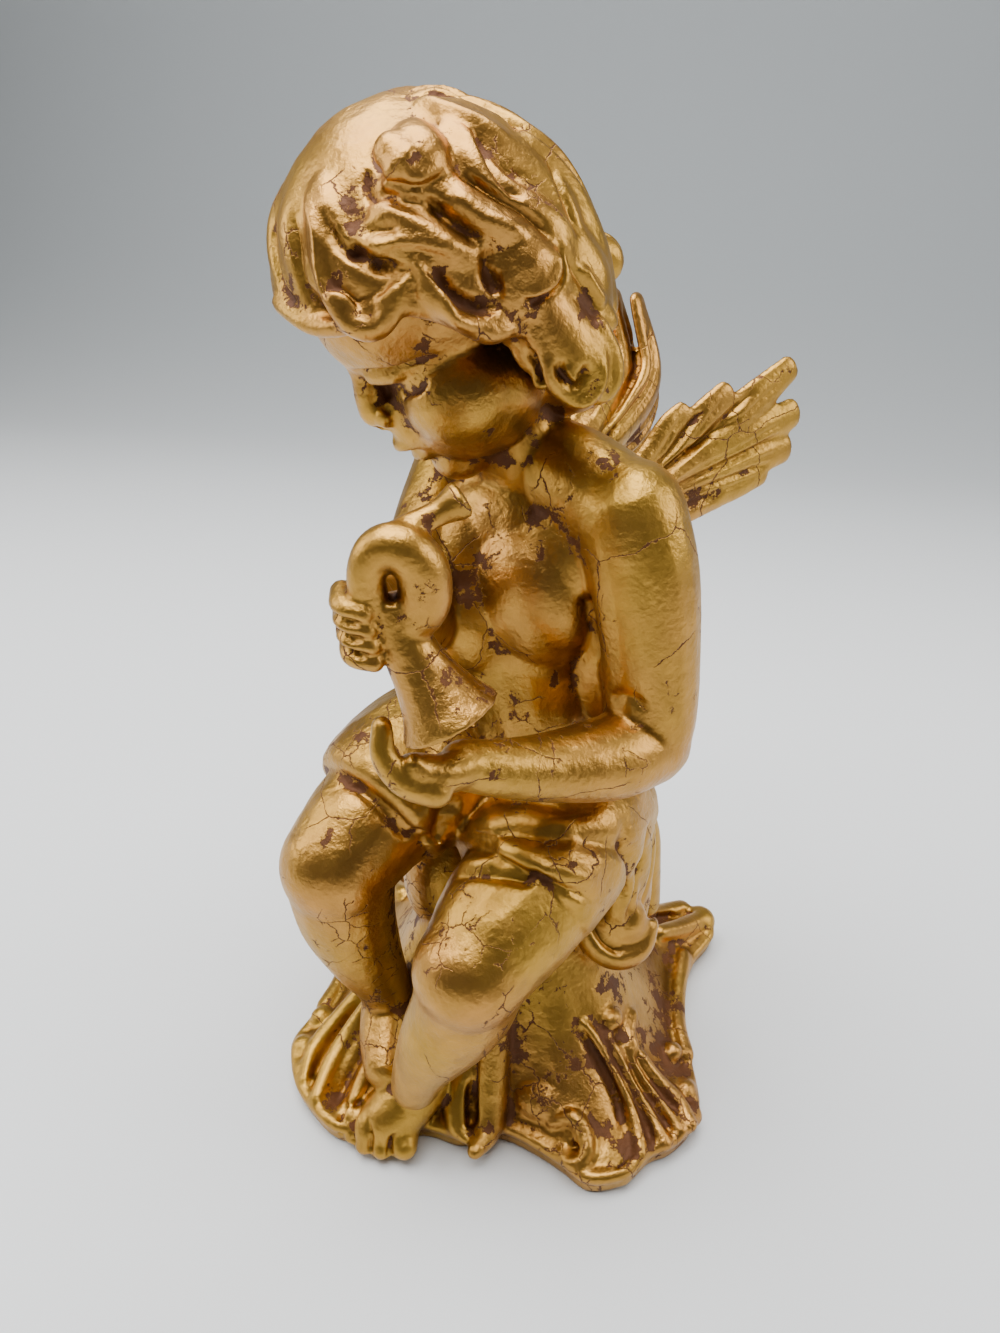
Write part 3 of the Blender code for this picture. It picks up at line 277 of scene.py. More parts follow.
def mound(x, y):
    """Height of the base's top over a point, in metres."""
    turn, far = math.atan2(y, x), math.hypot(x, y)
    shares = np.linspace(0.02, 1, 40)
    reach = []
    for share in shares:
        ring = ring_at(share)
        turns = np.arctan2(ring[:, 1], ring[:, 0])
        order = np.argsort(turns)
        reach.append(np.interp(turn, turns[order], np.hypot(*ring.T)[order], period=2 * math.pi))
    return rise_at(float(np.interp(far, reach, shares)))


def base():
    clay = Clay(Matrix())
    edge = outline()
    trim, tuck, roll_in = 0.002, 0.97, 0.985
    rings = [[(x * tuck, y * tuck, -trim) for x, y in edge]]
    rings.append([(x, y, trim) for x, y in edge])
    for share in (1, 0.97, 0.9, 0.82, 0.74, 0.66, 0.58, 0.5, 0.42, 0.34, 0.2, 0.05):
        rings.append([(x, y, rise_at(share)) for x, y in ring_at(share)])
    clay.loft(rings)
    rim = [(x * roll_in, y * roll_in, RIM_HEIGHT - 0.001, RIM_ROLL) for x, y in edge[::3]]
    clay.roll(rim + rim[:2], facing=(0, 0, 1), steps=3, sides=10)
    return clay


def on_base(points):
    """Points of x, y, radius in units, laid on the mound."""
    rows = []
    for x, y, r in points:
        rows.append((x, y, mound(x * UNIT, y * UNIT) / UNIT + 0.2 * r, r))
    return rows


def ornament():
    """Scrolls, leaf ribs, flutes and the tongue of the rococo base."""
    clay = Clay()
    lines = [
        [(2, -25, 4), (1, -33, 5.6), (2, -42, 6), (3, -49, 4.8), (1, -57, 2.6)],
        [(-5, -38, 3), (-7, -44, 4.4), (-6, -50, 3.8), (-3, -53, 2.2)],
        [(22, -46, 1.8), (28, -45, 2.4), (32, -48, 2.6), (33, -53, 2.4), (29, -55, 2), (26, -52, 1.6)],
        [(42, -13, 2), (42, -21, 2.6), (50, -26, 2.9), (58, -29, 2.8), (63, -35, 2.2)],
        [(40, -24, 2), (48, -29, 2.6), (54, -33, 2.6), (60, -38, 2)],
        [(35, -25, 2), (43, -31, 2.6), (50, -36, 2.6), (56, -43, 2)],
        [(28, -26, 1.8), (36, -29, 2.4), (43, -34, 2.6), (47, -41, 2.6), (49, -48, 2)],
        [(57, 32, 3), (56, 14, 3), (57, 0, 3), (60, -10, 3)],
        [(-37, -20, 2.4), (-46, -30, 3), (-50, -40, 3), (-51, -50, 2.4)],
        [(-44, -14, 2.4), (-53, -25, 3), (-58, -34, 2.8), (-57, -44, 2.2)],
        [(-30, -28, 2), (-35, -37, 2.4), (-38, -46, 2.4), (-39, -54, 2)],
        [(-60, 8, 3), (-60, -6, 3), (-61, -16, 3.2)],
        [(48, 34, 3), (56, 44, 4), (63, 53, 4)], [(40, 40, 3), (48, 50, 4), (55, 56, 4)],
        [(-48, 34, 3), (-56, 44, 4), (-63, 53, 4)], [(-38, 38, 3), (-46, 48, 4), (-54, 56, 4)],
        [(20, 42, 3), (14, 48, 3.5), (0, 50, 4), (-14, 48, 3.5), (-20, 42, 3)],
        [(-56, 26, 2.5), (-57, 14, 3)],
    ]
    for line in lines:
        clay.roll(on_base(line))
    for x, y, z, r in ((38, -50, 7, 4), (43.5, -52, 4.5, 4), (35.5, -19.5, 31, 4), (55.5, -13, 13, 3.4),
                       (60.5, -23, 8.5, 3.8), (63, -30, 6, 3.6), (62, 53, 8, 6), (-62, 53, 8, 6),
                       (-60.5, -21, 10, 3.6), (-62.5, -32, 8, 4), (-59.5, -40, 7, 3.6)):
        clay.ball((x, y, z), (r, r, r * 0.9))
    clay.ball((19, -34, 13), (13, 12, 9))
    return clay


ground = as_clay(fuse([base(), ornament()], GRAIN, 4))

# The child's body.
# Trunk, arms, legs and feet of a plump child that sits turned to its right, modelled in clay
# with a few rolls for each limb and rubbed smooth.
CHEST_BACK = Vector((0.53, 0.85, 0))


def flesh():
    """Trunk, neck, arms and legs, before the hands and feet have fingers and toes."""
    clay = Clay()
    clay.roll([(4, 14, 70, 25, 0.85), (5, 13, 92, 23.6, 0.86), (5, 11, 107, 22.8, 0.88),
               (3, 11, 124, 23.4, 0.88), (0, 15, 144, 25, 0.84), (-1, 15, 166, 27, 0.74),
               (0, 14, 182, 24, 0.7), (1, 13, 194, 14, 0.9), (-3, 10, 206, 12, 1),
               (-7, 8, 218, 12, 1)], facing=CHEST_BACK)
    clay.ball((5, 2, 163), (18, 14, 22), (8, -6, -32))
    clay.ball((13, 3, 172), (17, 13, 19))
    clay.ball((-14, 10, 164), (15, 14, 22), (0, 8, -32))
    clay.ball((25, 5, 150), (12, 11, 28))
    clay.ball((0, 6, 120), (20, 15, 15))
    clay.ball((5, 5, 147), (17, 12.5, 18))
    clay.ball((-11, 4, 154), (13, 13, 18))
    clay.roll([(0, 14, 200, 10), (13, 8, 195, 13), (27, 0, 189, 14)])
    clay.roll([(-3, 16, 200, 10), (-11, 22, 195, 13), (-20, 29, 188, 14)])
    clay.roll([(29.5, -2, 189, 14.5), (34, -4, 174, 14.4), (37.5, -6, 152, 13.2), (39, -8, 136, 12.4),
               (38.5, -9, 127, 11.6)])
    clay.roll([(39, -9, 128, 12), (30, -21, 129.5, 11.4), (17, -33, 133, 9.2), (6, -43, 138, 7.4),
               (-2, -49, 142, 6.4)])
    clay.roll([(-21, 32, 187, 14), (-24, 14, 174, 13), (-25, -4, 161, 12), (-25, -10, 158, 11.5)])
    clay.roll([(-25, -10, 158, 11.5), (-24.5, -26, 169, 9.5), (-24, -44, 180, 7)])
    clay.roll([(23, 8, 90, 21), (15, -15, 87, 21), (6, -35, 82, 19.6), (0, -48, 76, 16.5)])
    clay.ball((-1, -50, 75), (16, 15.5, 16))
    clay.roll([(-1, -48, 72, 15.5), (-4, -49, 60, 14.5), (-10, -51, 48, 12), (-15, -52, 37, 9),
               (-18, -52, 27, 7.4)])
    clay.roll([(-12, 22, 96, 23), (-24, 2, 102, 22), (-36, -18, 98, 19), (-43, -30, 91, 17)])
    clay.ball((-44, -32, 89), (16.5, 16, 17))
    clay.roll([(-44, -31, 84, 16), (-43, -31, 70, 14.5), (-39, -30, 54, 11.5), (-35, -28, 40, 8.6),
               (-34, -27, 30, 8)])
    return clay


def feet():
    clay = Clay()
    clay.roll([(-17, -44, 18, 8), (-22, -48, 14, 9), (-27, -52, 9.5, 8.8), (-31, -54, 7, 7.6)])
    toes = [(-40.5, -53.5, 2.7), (-37.4, -57.2, 2.8), (-32.6, -59.8, 3), (-27, -60.2, 3.2),
            (-20.4, -58.4, 4.2)]
    for x, y, r in toes:
        clay.roll([(x * 0.6 - 11, y + 9, 9, r + 1.4), (x, y, r + 2, r)])
    clay.roll([(-34, -27, 30, 8.5), (-32, -36, 25, 8.5), (-30, -44, 22, 7)])
    return clay


limbs = as_clay(fuse([flesh(), feet()], GRAIN, 16))

# The cloth.
# A thin cloth goes round the hips, covers both thighs to just above the knee and falls in long
# folds over the rock at the side and behind.
def cloth():
    """The cloth over the lap: sleeves round both thighs and a band at the waist."""
    clay = Clay()
    clay.roll([(4, 16, 66, 26, 0.9), (5, 16, 84, 25, 0.9), (6, 14, 100, 23.6, 0.9),
               (6, 13, 108, 22.8, 0.9)], facing=CHEST_BACK)
    clay.roll([(22, 10, 92, 22), (17, -8, 92, 23.4), (11, -22, 89, 23.4), (8, -28, 87, 22.8)], tip=0.15)
    clay.roll([(-10, 20, 99, 25), (-22, 4, 105, 25.4), (-31, -10, 103.5, 24), (-35.5, -18, 100, 22.4)],
              tip=0.15)
    clay.ball((2, -6, 98), (18, 16, 13))
    return clay


def folds():
    """The falls of the cloth at the side, ending in a round lobe, and its fall over the rock behind."""
    clay = Clay()
    falls = [
        [(26, -4, 104, 4), (31, -6, 92, 5), (35, -8, 78, 5.4), (35, -9, 66, 5)],
        [(25, 8, 106, 4), (31, 8, 93, 5), (36, 8, 78, 6), (38, 6, 62, 6), (38, 2, 50, 5)],
        [(24, 20, 104, 4), (31, 22, 91, 5), (38, 22, 74, 6), (40, 22, 58, 6), (42, 22, 42, 5)],
        [(22, -8, 68, 4), (26, -11, 60, 5), (31, -13, 54, 5.4), (37, -12, 51.5, 5.2),
         (42, -9, 53, 4.4), (44, -5, 58, 3.4)],
    ]
    for fall in falls:
        clay.roll(fall)
    clay.ball((26, 8, 70), (13, 20, 27))
    clay.ball((35, -7, 60), (9, 7, 10))
    clay.ball((37, 6, 74), (7, 13, 24))
    clay.ball((-19, -3, 64), (15, 13, 21))
    top, foot = 106, 12
    rings = []
    for z, across, back in ((top, 22, 22), (94, 26, 26), (78, 31, 29), (60, 35, 31), (44, 38, 32.5),
                            (30, 40, 33.5), (foot, 41, 34)):
        ring = []
        for k in range(120):
            turn = math.tau * k / 120
            behind = max(0, min(1, (math.cos(turn) + 0.3) / 0.5))
            wave = abs(math.sin(5 * turn + 0.012 * z)) + 0.4 * math.sin(11 * turn + 1 - 0.03 * z)
            reach = 0.6 + 0.4 * behind
            fall = (1 + 3.4 * (top - z) / (top - foot)) * wave * behind
            ring.append((2 + (across * reach + fall) * math.sin(turn),
                         14 + (back * reach + fall) * math.cos(turn), z))
        rings.append(ring)
    clay.loft(rings)
    return clay


wrap = as_clay(fuse([cloth(), folds()], GRAIN, 8))

# The head.
# A child's round head bends down over the horn, with full cheeks, closed eyes and pouting lips.
# It is modelled in axes of its own and set on the neck at a turn.
def own_axes(at, left, back, up, size=1.0):
    """The place and turn of a part that is modelled in axes of its own."""
    turn = Matrix((left, back, up)).transposed().to_4x4()
    return BODY @ Matrix.Translation(at) @ turn @ Matrix.Scale(size, 4)


HEAD_SIZE = 0.93
HEAD_AT = Vector((-11.5, 4, 242.5))
HEAD_LEFT = Vector((0.50, -0.866, -0.02))
HEAD_BACK = Vector((0.739, 0.415, 0.531))
HEAD_UP = Vector((-0.451, -0.280, 0.847))
HEAD = own_axes(HEAD_AT, HEAD_LEFT, HEAD_BACK, HEAD_UP, HEAD_SIZE)


def skull():
    clay = Clay(HEAD)
    clay.ball((0, -11, 8), (27.5, 29, 24))
    clay.ball((0, -15, -20), (24.5, 21, 20))
    clay.ball((0, -26, -22), (13, 13, 11))
    for side in (1, -1):
        clay.ball((12.5 * side, -18.5, -17), (15, 15, 14))
        clay.ball((11 * side, -20, 7), (13, 16, 11))
    clay.ball((0, -14, -28), (18, 17, 14))
    clay.ball((0, -26, -36), (9.5, 9, 8))
    clay.roll([(0, 4, -20, 17), (0, 10, -34, 14)])
    return clay


def features():
    """Nose, lips and ears of a plump, downcast child's face."""
    clay = Clay(HEAD)
    clay.roll([(0, -35, 2, 3.4), (0, -35.6, -4, 3.8), (0, -37.6, -9.5, 4.4), (0, -38.4, -13, 4.8)])
    clay.ball((0, -37.6, -17), (3, 3.4, 3))
    for side in (1, -1):
        clay.ball((4.4 * side, -36.6, -14.6), (3.6, 4, 3.4))
        clay.ball((31 * side, -1, -12), (3, 5, 8))
        clay.roll([(31 * side, -5, -7, 1.6), (34 * side, -4, -3.5, 2), (35 * side, 1, -3, 2.2),
                   (35 * side, 4, -8, 2.2), (34 * side, 3, -15, 2), (31.5 * side, -3, -20, 2.4)])
    clay.roll([(-8, -32.6, -26, 1.2), (-4, -37, -24.4, 2), (0, -38.6, -24.6, 2.2), (4, -37, -24.4, 2),
               (8, -32.6, -26, 1.2)])
    clay.roll([(-6.5, -32.6, -28.4, 1.4), (0, -35.6, -30, 2.6), (6.5, -32.6, -28.4, 1.4)])
    return clay


def face_strokes():
    """Lids, nostrils, lip line and the soft creases of the face."""
    strokes = [([(-8, -34, -26.8), (-4, -38, -27), (0, -39.5, -27.6), (4, -38, -27), (8, -34, -26.8)],
                1, 1.8),
               ([(-5, -36, -32.5), (0, -37, -33), (5, -36, -32.5)], 1.8, 1.2),
               ([(0, -41.5, -19.5), (0, -41, -22.5)], 1, 0.5)]
    for side in (1, -1):
        for points, width, depth in (
                ([(3, -38, 0), (12, -35, -0.5), (20, -29, -3), (27, -20, -5)], 1.1, 2.1),
                ([(5, -36, -6.4), (12, -33.5, -8.4), (18, -29.5, -8.2), (23, -25, -6)], 1, 1.7),
                ([(6, -37, -3.2), (12, -34, -4.4), (19, -29, -5)], 2.2, -1.5),
                ([(5.5, -37.5, -8.5), (8, -36, -12.5), (8, -37, -16.5), (4.5, -40, -18.5)], 1.2, 1.6),
                ([(2.2, -42, -18), (3.8, -41, -18)], 1, 1.2), ([(8, -36, -18), (11, -33, -22)], 2, 0.6)):
            strokes.append(([(x * side, y, z) for x, y, z in points], width, depth))
    return strokes


head = as_clay(fuse([as_clay(fuse([skull()], GRAIN, 22)), features()], FINE_GRAIN, 4))

# The hair.
# Thick combed locks over a round mass: a knob above the brow, a round curl at the temple, a
# hanging lock before the ear and a rolled lower edge.
CAP_AT = (0, -7.5, 0)
CAP = (35, 41, 46.5)
HEM = [(0, 24), (20, 21), (36, 16.5), (50, 14.5), (62, 15.5), (70, 13.5), (78, 8.5), (84, 3),
       (90, -1), (97, -5), (110, -12), (130, -20), (155, -26), (180, -27), (205, -26), (230, -20),
       (250, -12), (262, -5), (270, 0), (282, 8), (296, 14), (312, 17), (330, 17), (345, 21), (360, 24)]


def on_cap(turn, z, lift=0.0):
    """A point of the hair's round mass at a turn in degrees from the front and a height."""
    angle, span = math.radians(turn), math.sqrt(max(0, 1 - (z / CAP[2]) ** 2))
    out = Vector((CAP[0] * span * math.sin(angle), -CAP[1] * span * math.cos(angle), z))
    return Vector(CAP_AT) + out + out.normalized() * lift


def hem_height(turn):
    turns, heights = zip(*HEM)
    return float(np.interp(turn % 360, turns, heights))


def down_hair(turn, lean, share, lift):
    """A point on a wavy line from the crown down to the hem, at a turn and a share of the way."""
    side = turn + lean * math.sin(3.4 * share)
    low = math.acos(hem_height(side) / CAP[2])
    return on_cap(side, CAP[2] * math.cos(low * share), lift)


def cap():
    """The round mass of the hair, thin at its lower edge."""
    clay = Clay(HEAD)
    turns = np.arange(0, 360, 6)
    rings = []
    for share in (0.04, 0.15, 0.3, 0.45, 0.6, 0.75, 0.88, 1):
        ring = []
        for turn in turns:
            low = math.acos(hem_height(turn) / CAP[2])
            ring.append(on_cap(turn, CAP[2] * math.cos(low * share)))
        rings.append(ring)
    rings.append([on_cap(turn, hem_height(turn) - 1.5, -2) for turn in turns])
    rings.append([on_cap(turn, hem_height(turn) - 1, -7) for turn in turns])
    rings.append([on_cap(turn, hem_height(turn) + 10, -18) for turn in turns])
    clay.loft(rings)
    return clay


def hair():
    """Knob over the brow, sweeping locks, the round side curl, the hanging lock and the locks behind."""
    clay = Clay(HEAD)
    centre = (0, -6, 2)
    knob = [(17.5, 3, 34.5, 4), (20, 1, 35, 6), (24, -1, 33.2, 7.4), (27, -2.8, 30, 6.2),
            (28.5, -3.8, 27, 3.4)]
    temple = [
        [(25, -21, 27.6, 3.2, 0.7), (28.4, -15.7, 26.8, 4.2, 0.7), (30.4, -10.7, 23.8, 4.6, 0.7),
         (32.4, -6.5, 18, 4.4, 0.7), (33.6, -1.6, 12, 4, 0.7), (34, 3, 8, 3.4, 0.7)],
        [(25.5, -14, 31, 1.6), (29, -8.5, 27, 2.2), (31.8, -5, 21.4, 2.2), (33.6, -0.5, 15.4, 1.8)],
        [(26.5, -23, 24.8, 1.8), (30, -18.6, 23.6, 2), (32.2, -14, 21, 2), (34, -9.4, 16.4, 2),
         (35, -1, 10.4, 1.6)],
        [(27, 0, 28.5, 4, 0.8), (30, 1.5, 22, 5, 0.8), (32, 5, 15, 5.6, 0.8), (32, 9, 9.5, 5.6, 0.8),
         (32, 11, 4, 5, 0.8)],
        [(20.5, 9, 33.5, 3, 0.8), (25.5, 8.5, 27.5, 4, 0.8), (29, 9.5, 19.5, 4.4, 0.8),
         (30, 13.5, 12.5, 4.4, 0.8), (30, 16.5, 6, 4.4, 0.8), (29.5, 16, 0, 4, 0.8),
         (31, 12, -4, 3.6, 0.8), (33, 7, -5, 3, 0.8)],
        [(25, -25, 20, 4, 0.5), (30, -19, 16.5, 6, 0.5), (33, -11, 12, 7, 0.5), (34.5, -4, 5, 5, 0.5)],
        [(31.5, -14, 20.5, 1.8), (33.5, -14.5, 14.5, 2.4), (35, -13, 9, 2.6), (36, -10, 3.5, 2.6),
         (36.5, -5, -0.5, 2.2)],
    ]
    behind = [
        [(12, 8, 38, 4, 0.6), (16, 12.5, 33.5, 6, 0.6), (19, 16.5, 25.5, 6.6, 0.6),
         (22, 19, 17, 6.6, 0.6), (24.5, 21, 9.5, 6, 0.6), (26.5, 19.5, 1, 5, 0.7),
         (27, 18, -8, 4.5, 0.7), (27, 17, -18, 3.5, 0.8)],
        [(-4, 7, 41, 4, 0.6), (5, 12.5, 38, 5, 0.6), (11, 17, 32.5, 5.4, 0.6),
         (14.5, 21.5, 24.5, 5.4, 0.7), (17, 25.5, 15, 5.6, 0.7), (19, 25.5, 4, 6.4, 0.7),
         (20, 24, -7, 6.4, 0.7), (20, 23, -15, 4.6, 0.7), (19.4, 22.6, -20, 2.8, 0.8)],
        [(26, 19, 0, 6, 0.8), (25, 20, -9, 6, 0.8), (24, 19, -16, 4.6, 0.8)],
        [(30, 13, -2, 6, 0.8), (28.5, 15.5, -9, 5.4, 0.8), (28, 17, -15, 4.4, 0.8),
         (28, 18, -19, 3.2, 0.8)],
    ]
    brow = [
        [(14, -20, 38.5, 4, 0.6), (18.5, -23, 34.5, 5, 0.6), (22.5, -25.5, 28.5, 5, 0.6),
         (26.5, -25, 22, 5, 0.6), (30, -20, 18, 3, 0.6)],
        [(14.5, -22.5, 38.5, 1.8), (18, -26, 34, 2.4), (20.5, -29, 28.5, 2.7), (23.5, -31, 22, 2.7),
         (26.5, -30, 17, 2.2)],
        [(3, -20, 41.5, 4, 0.6), (8.5, -28, 36, 6, 0.6), (13, -32, 29.5, 6, 0.6),
         (17, -33.5, 22, 5, 0.6), (21, -33, 17, 3, 0.6)],
        [(-7, -20, 41.5, 4, 0.6), (-3, -30.5, 35, 6, 0.6), (3, -36, 28, 6, 0.6), (9, -37.5, 22, 4, 0.6)],
        [(-14, -17, 40, 4, 0.6), (-13, -29, 34, 6, 0.6), (-9, -35.5, 27, 6, 0.6),
         (-2, -38.5, 22, 4, 0.6)],
        [(-18, -12, 38, 4, 0.6), (-22, -22, 31, 6, 0.6), (-21, -29.5, 24, 6, 0.6),
         (-15, -35.5, 18, 4, 0.6)],
    ]
    hanging = [
        [(34, 6, -4, 6, 0.6), (34.5, 6.5, -15, 7.6, 0.6), (34.5, 7, -21.5, 7.8, 0.6),
         (34, 7.5, -25.5, 6.2, 0.6)],
        [(35.5, 0, -8, 2), (36.5, -0.5, -16, 2.3), (36, 1.5, -24, 2.4), (35, 6, -30, 2.4),
         (34, 11, -30, 2.4), (33.5, 14, -25, 2.4), (33.5, 14.5, -17, 2.3)],
        [(35.5, 5, -10, 1.4), (37, 4.5, -18, 1.8), (36.5, 6.5, -24, 1.6), (35.5, 9.5, -24, 1.4)],
        [(31, 12, 9, 3), (32, 14, 3.5, 3.6), (32.5, 11.5, -2, 3.6), (34.5, 5.5, -3.5, 3.4),
         (35.6, 0.5, -1, 3), (36, 0, 4, 2.6), (36, 3, 7.5, 2)],
    ]
    clay.ball((32.5, 6, 4), (6, 8, 8.5))
    clay.ball((12.5, 28.5, -12), (5, 5, 6.5))
    for lock in [knob] + temple + behind + brow + hanging:
        clay.roll(lock, away=centre)
    hem = []
    for turn in range(8, 102, 5):
        lift = 0.4 - max(0, 50 - turn) / 30
        hem.append((*on_cap(turn, hem_height(turn) + 0.6, lift), 2.4))
    clay.roll(hem, steps=3)
    for k in range(11):
        turn = 152 + 17.5 * k
        lean = 7 * math.sin(2.1 * k)
        points = []
        for share, r in ((0.2, 3.5), (0.4, 6), (0.6, 7), (0.8, 6.4), (0.97, 3.6)):
            points.append((*down_hair(turn, lean, share, -2.8), r, 0.6))
        clay.roll(points, away=centre)
    for k in range(10):
        turn = 104 + 17 * k
        curl = 5 * math.sin(1.9 * k + 1)
        points = []
        for z, span, r in ((-8, 0.98, 5), (-17, 0.9, 5.8), (-26, 0.76, 5.4), (-32, 0.66, 4.2),
                           (-36, 0.62, 3)):
            side = math.radians(turn + curl * (-8 - z) / 10)
            points.append((33 * span * math.sin(side), -6 - 32.5 * span * math.cos(side),
                           z + abs(curl) * 0.6, r, 0.8))
        clay.roll(points, away=(0, 0, -15))
    return clay


def fringe():
    """A tip of the fringe over the brow and one down the temple, the knob's crown, the curl's ball."""
    clay = Clay(HEAD)
    for tip in ([(27, -32.5, 20, 2.4), (29, -31.5, 15.5, 3), (30.5, -28.5, 12.8, 3),
                 (32.5, -24.5, 13.5, 2.6), (33.5, -20.5, 15.5, 2)],
                [(35.5, -15.5, 14, 2), (36.6, -14, 9, 2.6), (37, -11.5, 3.5, 2.8), (37, -8.5, -1, 2.8),
                 (36.5, -5, -3, 2.2)],
                [(25, -4.5, 37.5, 4.5), (26.5, -4, 34.5, 6.6), (28, -3.8, 32, 5)]):
        clay.roll(tip, away=(0, -6, 2))
    clay.ball((34.5, 6, 4.5), (5, 7.5, 7.5))
    return clay


def hair_strokes():
    """Grooves between the locks, rolled edges and the strands that the comb left in them."""
    strokes = [
        ([(11.5, -23, 40), (20.5, -26, 34.5), (23, -30, 29), (25, -32.5, 23.5), (27.5, -31.5, 18.5),
          (29.5, -30, 15.5)], 1.5, -1.6),
        ([(10, -26, 40.5), (15.5, -31, 33.5), (16.5, -34.5, 26), (20.5, -35, 20.5),
          (26, -34, 17.5)], 1.4, 1.6),
        ([(0, -30.5, 37.5), (4, -36, 32.5), (9, -39, 25.5), (16.5, -39, 21)], 1.2, 1.4),
        ([(18.5, -22.5, 36.5), (24.5, -24.5, 31), (26.5, -24, 28.5), (28, -22.5, 25)], 1.5, 1.8),
        ([(26.5, -24, 29), (28, -22, 25.5), (30, -19.5, 23), (32.5, -16, 21.5)], 1.5, 2.3),
        ([(26, -22, 29.5), (30, -19, 26.5), (33, -14.5, 25), (34.5, -10, 21.5), (35.5, -6.5, 17),
          (36.5, -2.5, 12.5)], 1.7, -1.5),
        ([(26.5, -20, 30), (31, -16, 28.5), (32.5, -12.5, 26.5)], 1.6, 1.4),
        ([(24.5, -17, 31.5), (30, -12, 29), (33, -9, 25), (35, -5.5, 19.5), (35.5, -1, 14.5)], 2, -1.6),
        ([(33.5, -15, 22), (34.5, -13.5, 19), (35.5, -14, 15), (37, -14, 10), (38, -12.5, 5),
          (38, -9.5, 0.5)], 1.4, -1.8),
        ([(31.5, -26.5, 17), (32.5, -22.5, 16.5), (33, -18, 17), (32.5, -15.5, 18.5)], 1.6, -1.2),
        ([(35.5, -11.5, 18), (35, -12, 12.5), (36.5, -11, 9), (36, -8.5, 5), (36, -3, 1)], 1.5, 2),
        ([(32, -4.5, 30), (31.5, -4, 26), (32, -3, 21), (33.5, -1, 17.5), (34.5, 1.5, 14.5)], 1.3, 1.5),
        ([(31.5, 0.5, 27.5), (33.5, 1.5, 23.5), (35.5, 3.5, 18.5), (36.5, 7, 14),
          (36, 10.5, 8)], 2.2, -1.6),
        ([(29.5, 3, 29), (29.5, 6, 24), (31.5, 8, 19.5), (33, 11, 14.5), (34.5, 13, 10),
          (35, 14, 6)], 0.9, 1.5),
        ([(21.5, 12.5, 31.5), (26.5, 12, 27.5), (30, 11.5, 24), (32, 11.5, 19.5),
          (32.5, 14, 15)], 1.5, 2.2),
        ([(21.5, 10.5, 35), (25, 11.5, 30), (29.5, 11, 25.5), (32.5, 10.5, 18.5),
          (33, 13.5, 13)], 1.4, -0.8),
        ([(35.5, 13, 5.5), (36.5, 11.5, 2.5), (37.5, 8.5, 0.5), (38, 4, 1), (38.5, -1, 3)], 1.4, -1.5),
        ([(34.5, 1.5, 14), (36.5, -1.5, 11), (36, -2.5, 7), (36.5, -2.5, 3)], 1.5, 2.3),
        ([(34.5, 15.5, 6.5), (36, 13.5, 2), (36.5, 9.5, -1.5), (38, 4, -1), (38.5, -0.5, 1)], 1, 1.6),
        ([(15.5, -3.5, 41), (18.5, -7, 37.5), (27, -8, 35), (30, -6.5, 32.5), (32, -3.5, 30),
          (31, 0, 29.5), (29.5, 3, 30.5)], 1.1, 1.3),
        ([(26.5, 1.5, 39.5), (30.5, -1.5, 36.5), (32, -4, 32.5)], 1, 0.5),
        ([(20, -9.5, 37), (22.5, -12.5, 34.5), (27, -13.5, 31.5)], 1, 1.2),
        ([(5.5, 14, 39.5), (10.5, 17.5, 34.5), (14, 21.5, 28.5), (20, 23, 23)], 1.6, 2.2),
        ([(6, 8, 41.5), (17.5, 11, 37.5), (21.5, 16, 31), (23.5, 19.5, 24)], 1.6, -1),
        ([(20, 25.5, 18.5), (27, 23, 12), (28.5, 21.5, 6.5), (30.5, 20.5, 1)], 1.2, 1.2),
        ([(35, 15.5, 4.5), (34.5, 15.5, -1.5), (33, 16, -8.5), (31.5, 17, -15)], 1.2, 1.3),
        ([(32, 17.5, -2.5), (32, 18, -9), (31, 18.5, -15)], 1.3, -1.2),
        ([(37.5, 0.5, -12), (38, -2, -17), (36.5, -1.5, -23.5), (37, 1.5, -27.5), (37.5, 6, -27.5),
          (38, 9.5, -24), (37, 12.5, -20)], 1.4, -1.8),
        ([(37.5, 2, -15), (39, 0.5, -18.5), (38.5, 1.5, -22.5), (39.5, 5, -22),
          (38.5, 7, -19)], 1.5, 2.4),
        ([(38.5, 2, -16.5), (39, 2, -20), (39, 2.5, -22.5)], 0.9, -1.6),
        ([(36, -2, -9.5), (34.5, -3, -16), (34, -3.5, -21)], 1.4, 2.2),
    ]
    for k in range(26):
        turn = 148 + 8 * k
        lean = 7 * math.sin(0.97 * k)
        points = [tuple(down_hair(turn, lean, share, 1.5)) for share in (0.12, 0.35, 0.6, 0.8, 1)]
        strokes.append((points, 1.1, 1.2 + 0.5 * math.sin(2.7 * k)))
    return strokes


locks = as_clay(fuse([cap(), hair(), fringe()], FINE_GRAIN, 3))

# The wings.
# Two small wings of overlapping feathers grow from the shoulder blades; the right one is
# swept up and seen edge-on.
LEFT_QUILLS = [
    [(30, 34, 184, 5), (39, 40, 188, 6), (54, 53.5, 200, 6.4), (67, 65, 211, 4.2)],
    [(29, 32, 186, 5), (37, 38.5, 191, 6), (44, 45.5, 200, 5.6), (50, 51, 207, 3.8)],
    [(28, 30, 188, 4.5), (33, 36, 194, 5.2), (36, 39, 199.5, 4.8), (39, 42, 203.5, 3.4)],
    [(31, 34, 180, 5), (40.5, 41, 186, 6), (57, 55, 192.5, 6.6), (69.5, 66, 198, 4.8)],
    [(31, 34, 177, 5), (42, 41.5, 182, 6), (56.5, 54, 186, 6.4), (68.5, 64.5, 188, 4.8)],
    [(30, 33, 174, 5), (42, 41.5, 178.5, 5.6), (53, 51, 180, 5.8), (62.5, 59, 182, 4.4)],
    [(29, 32, 172, 4.5), (40, 40, 175, 5), (51, 49.5, 177.5, 4.2)],
]
LEFT_FACE = Vector((0.62, -0.79, 0.1))
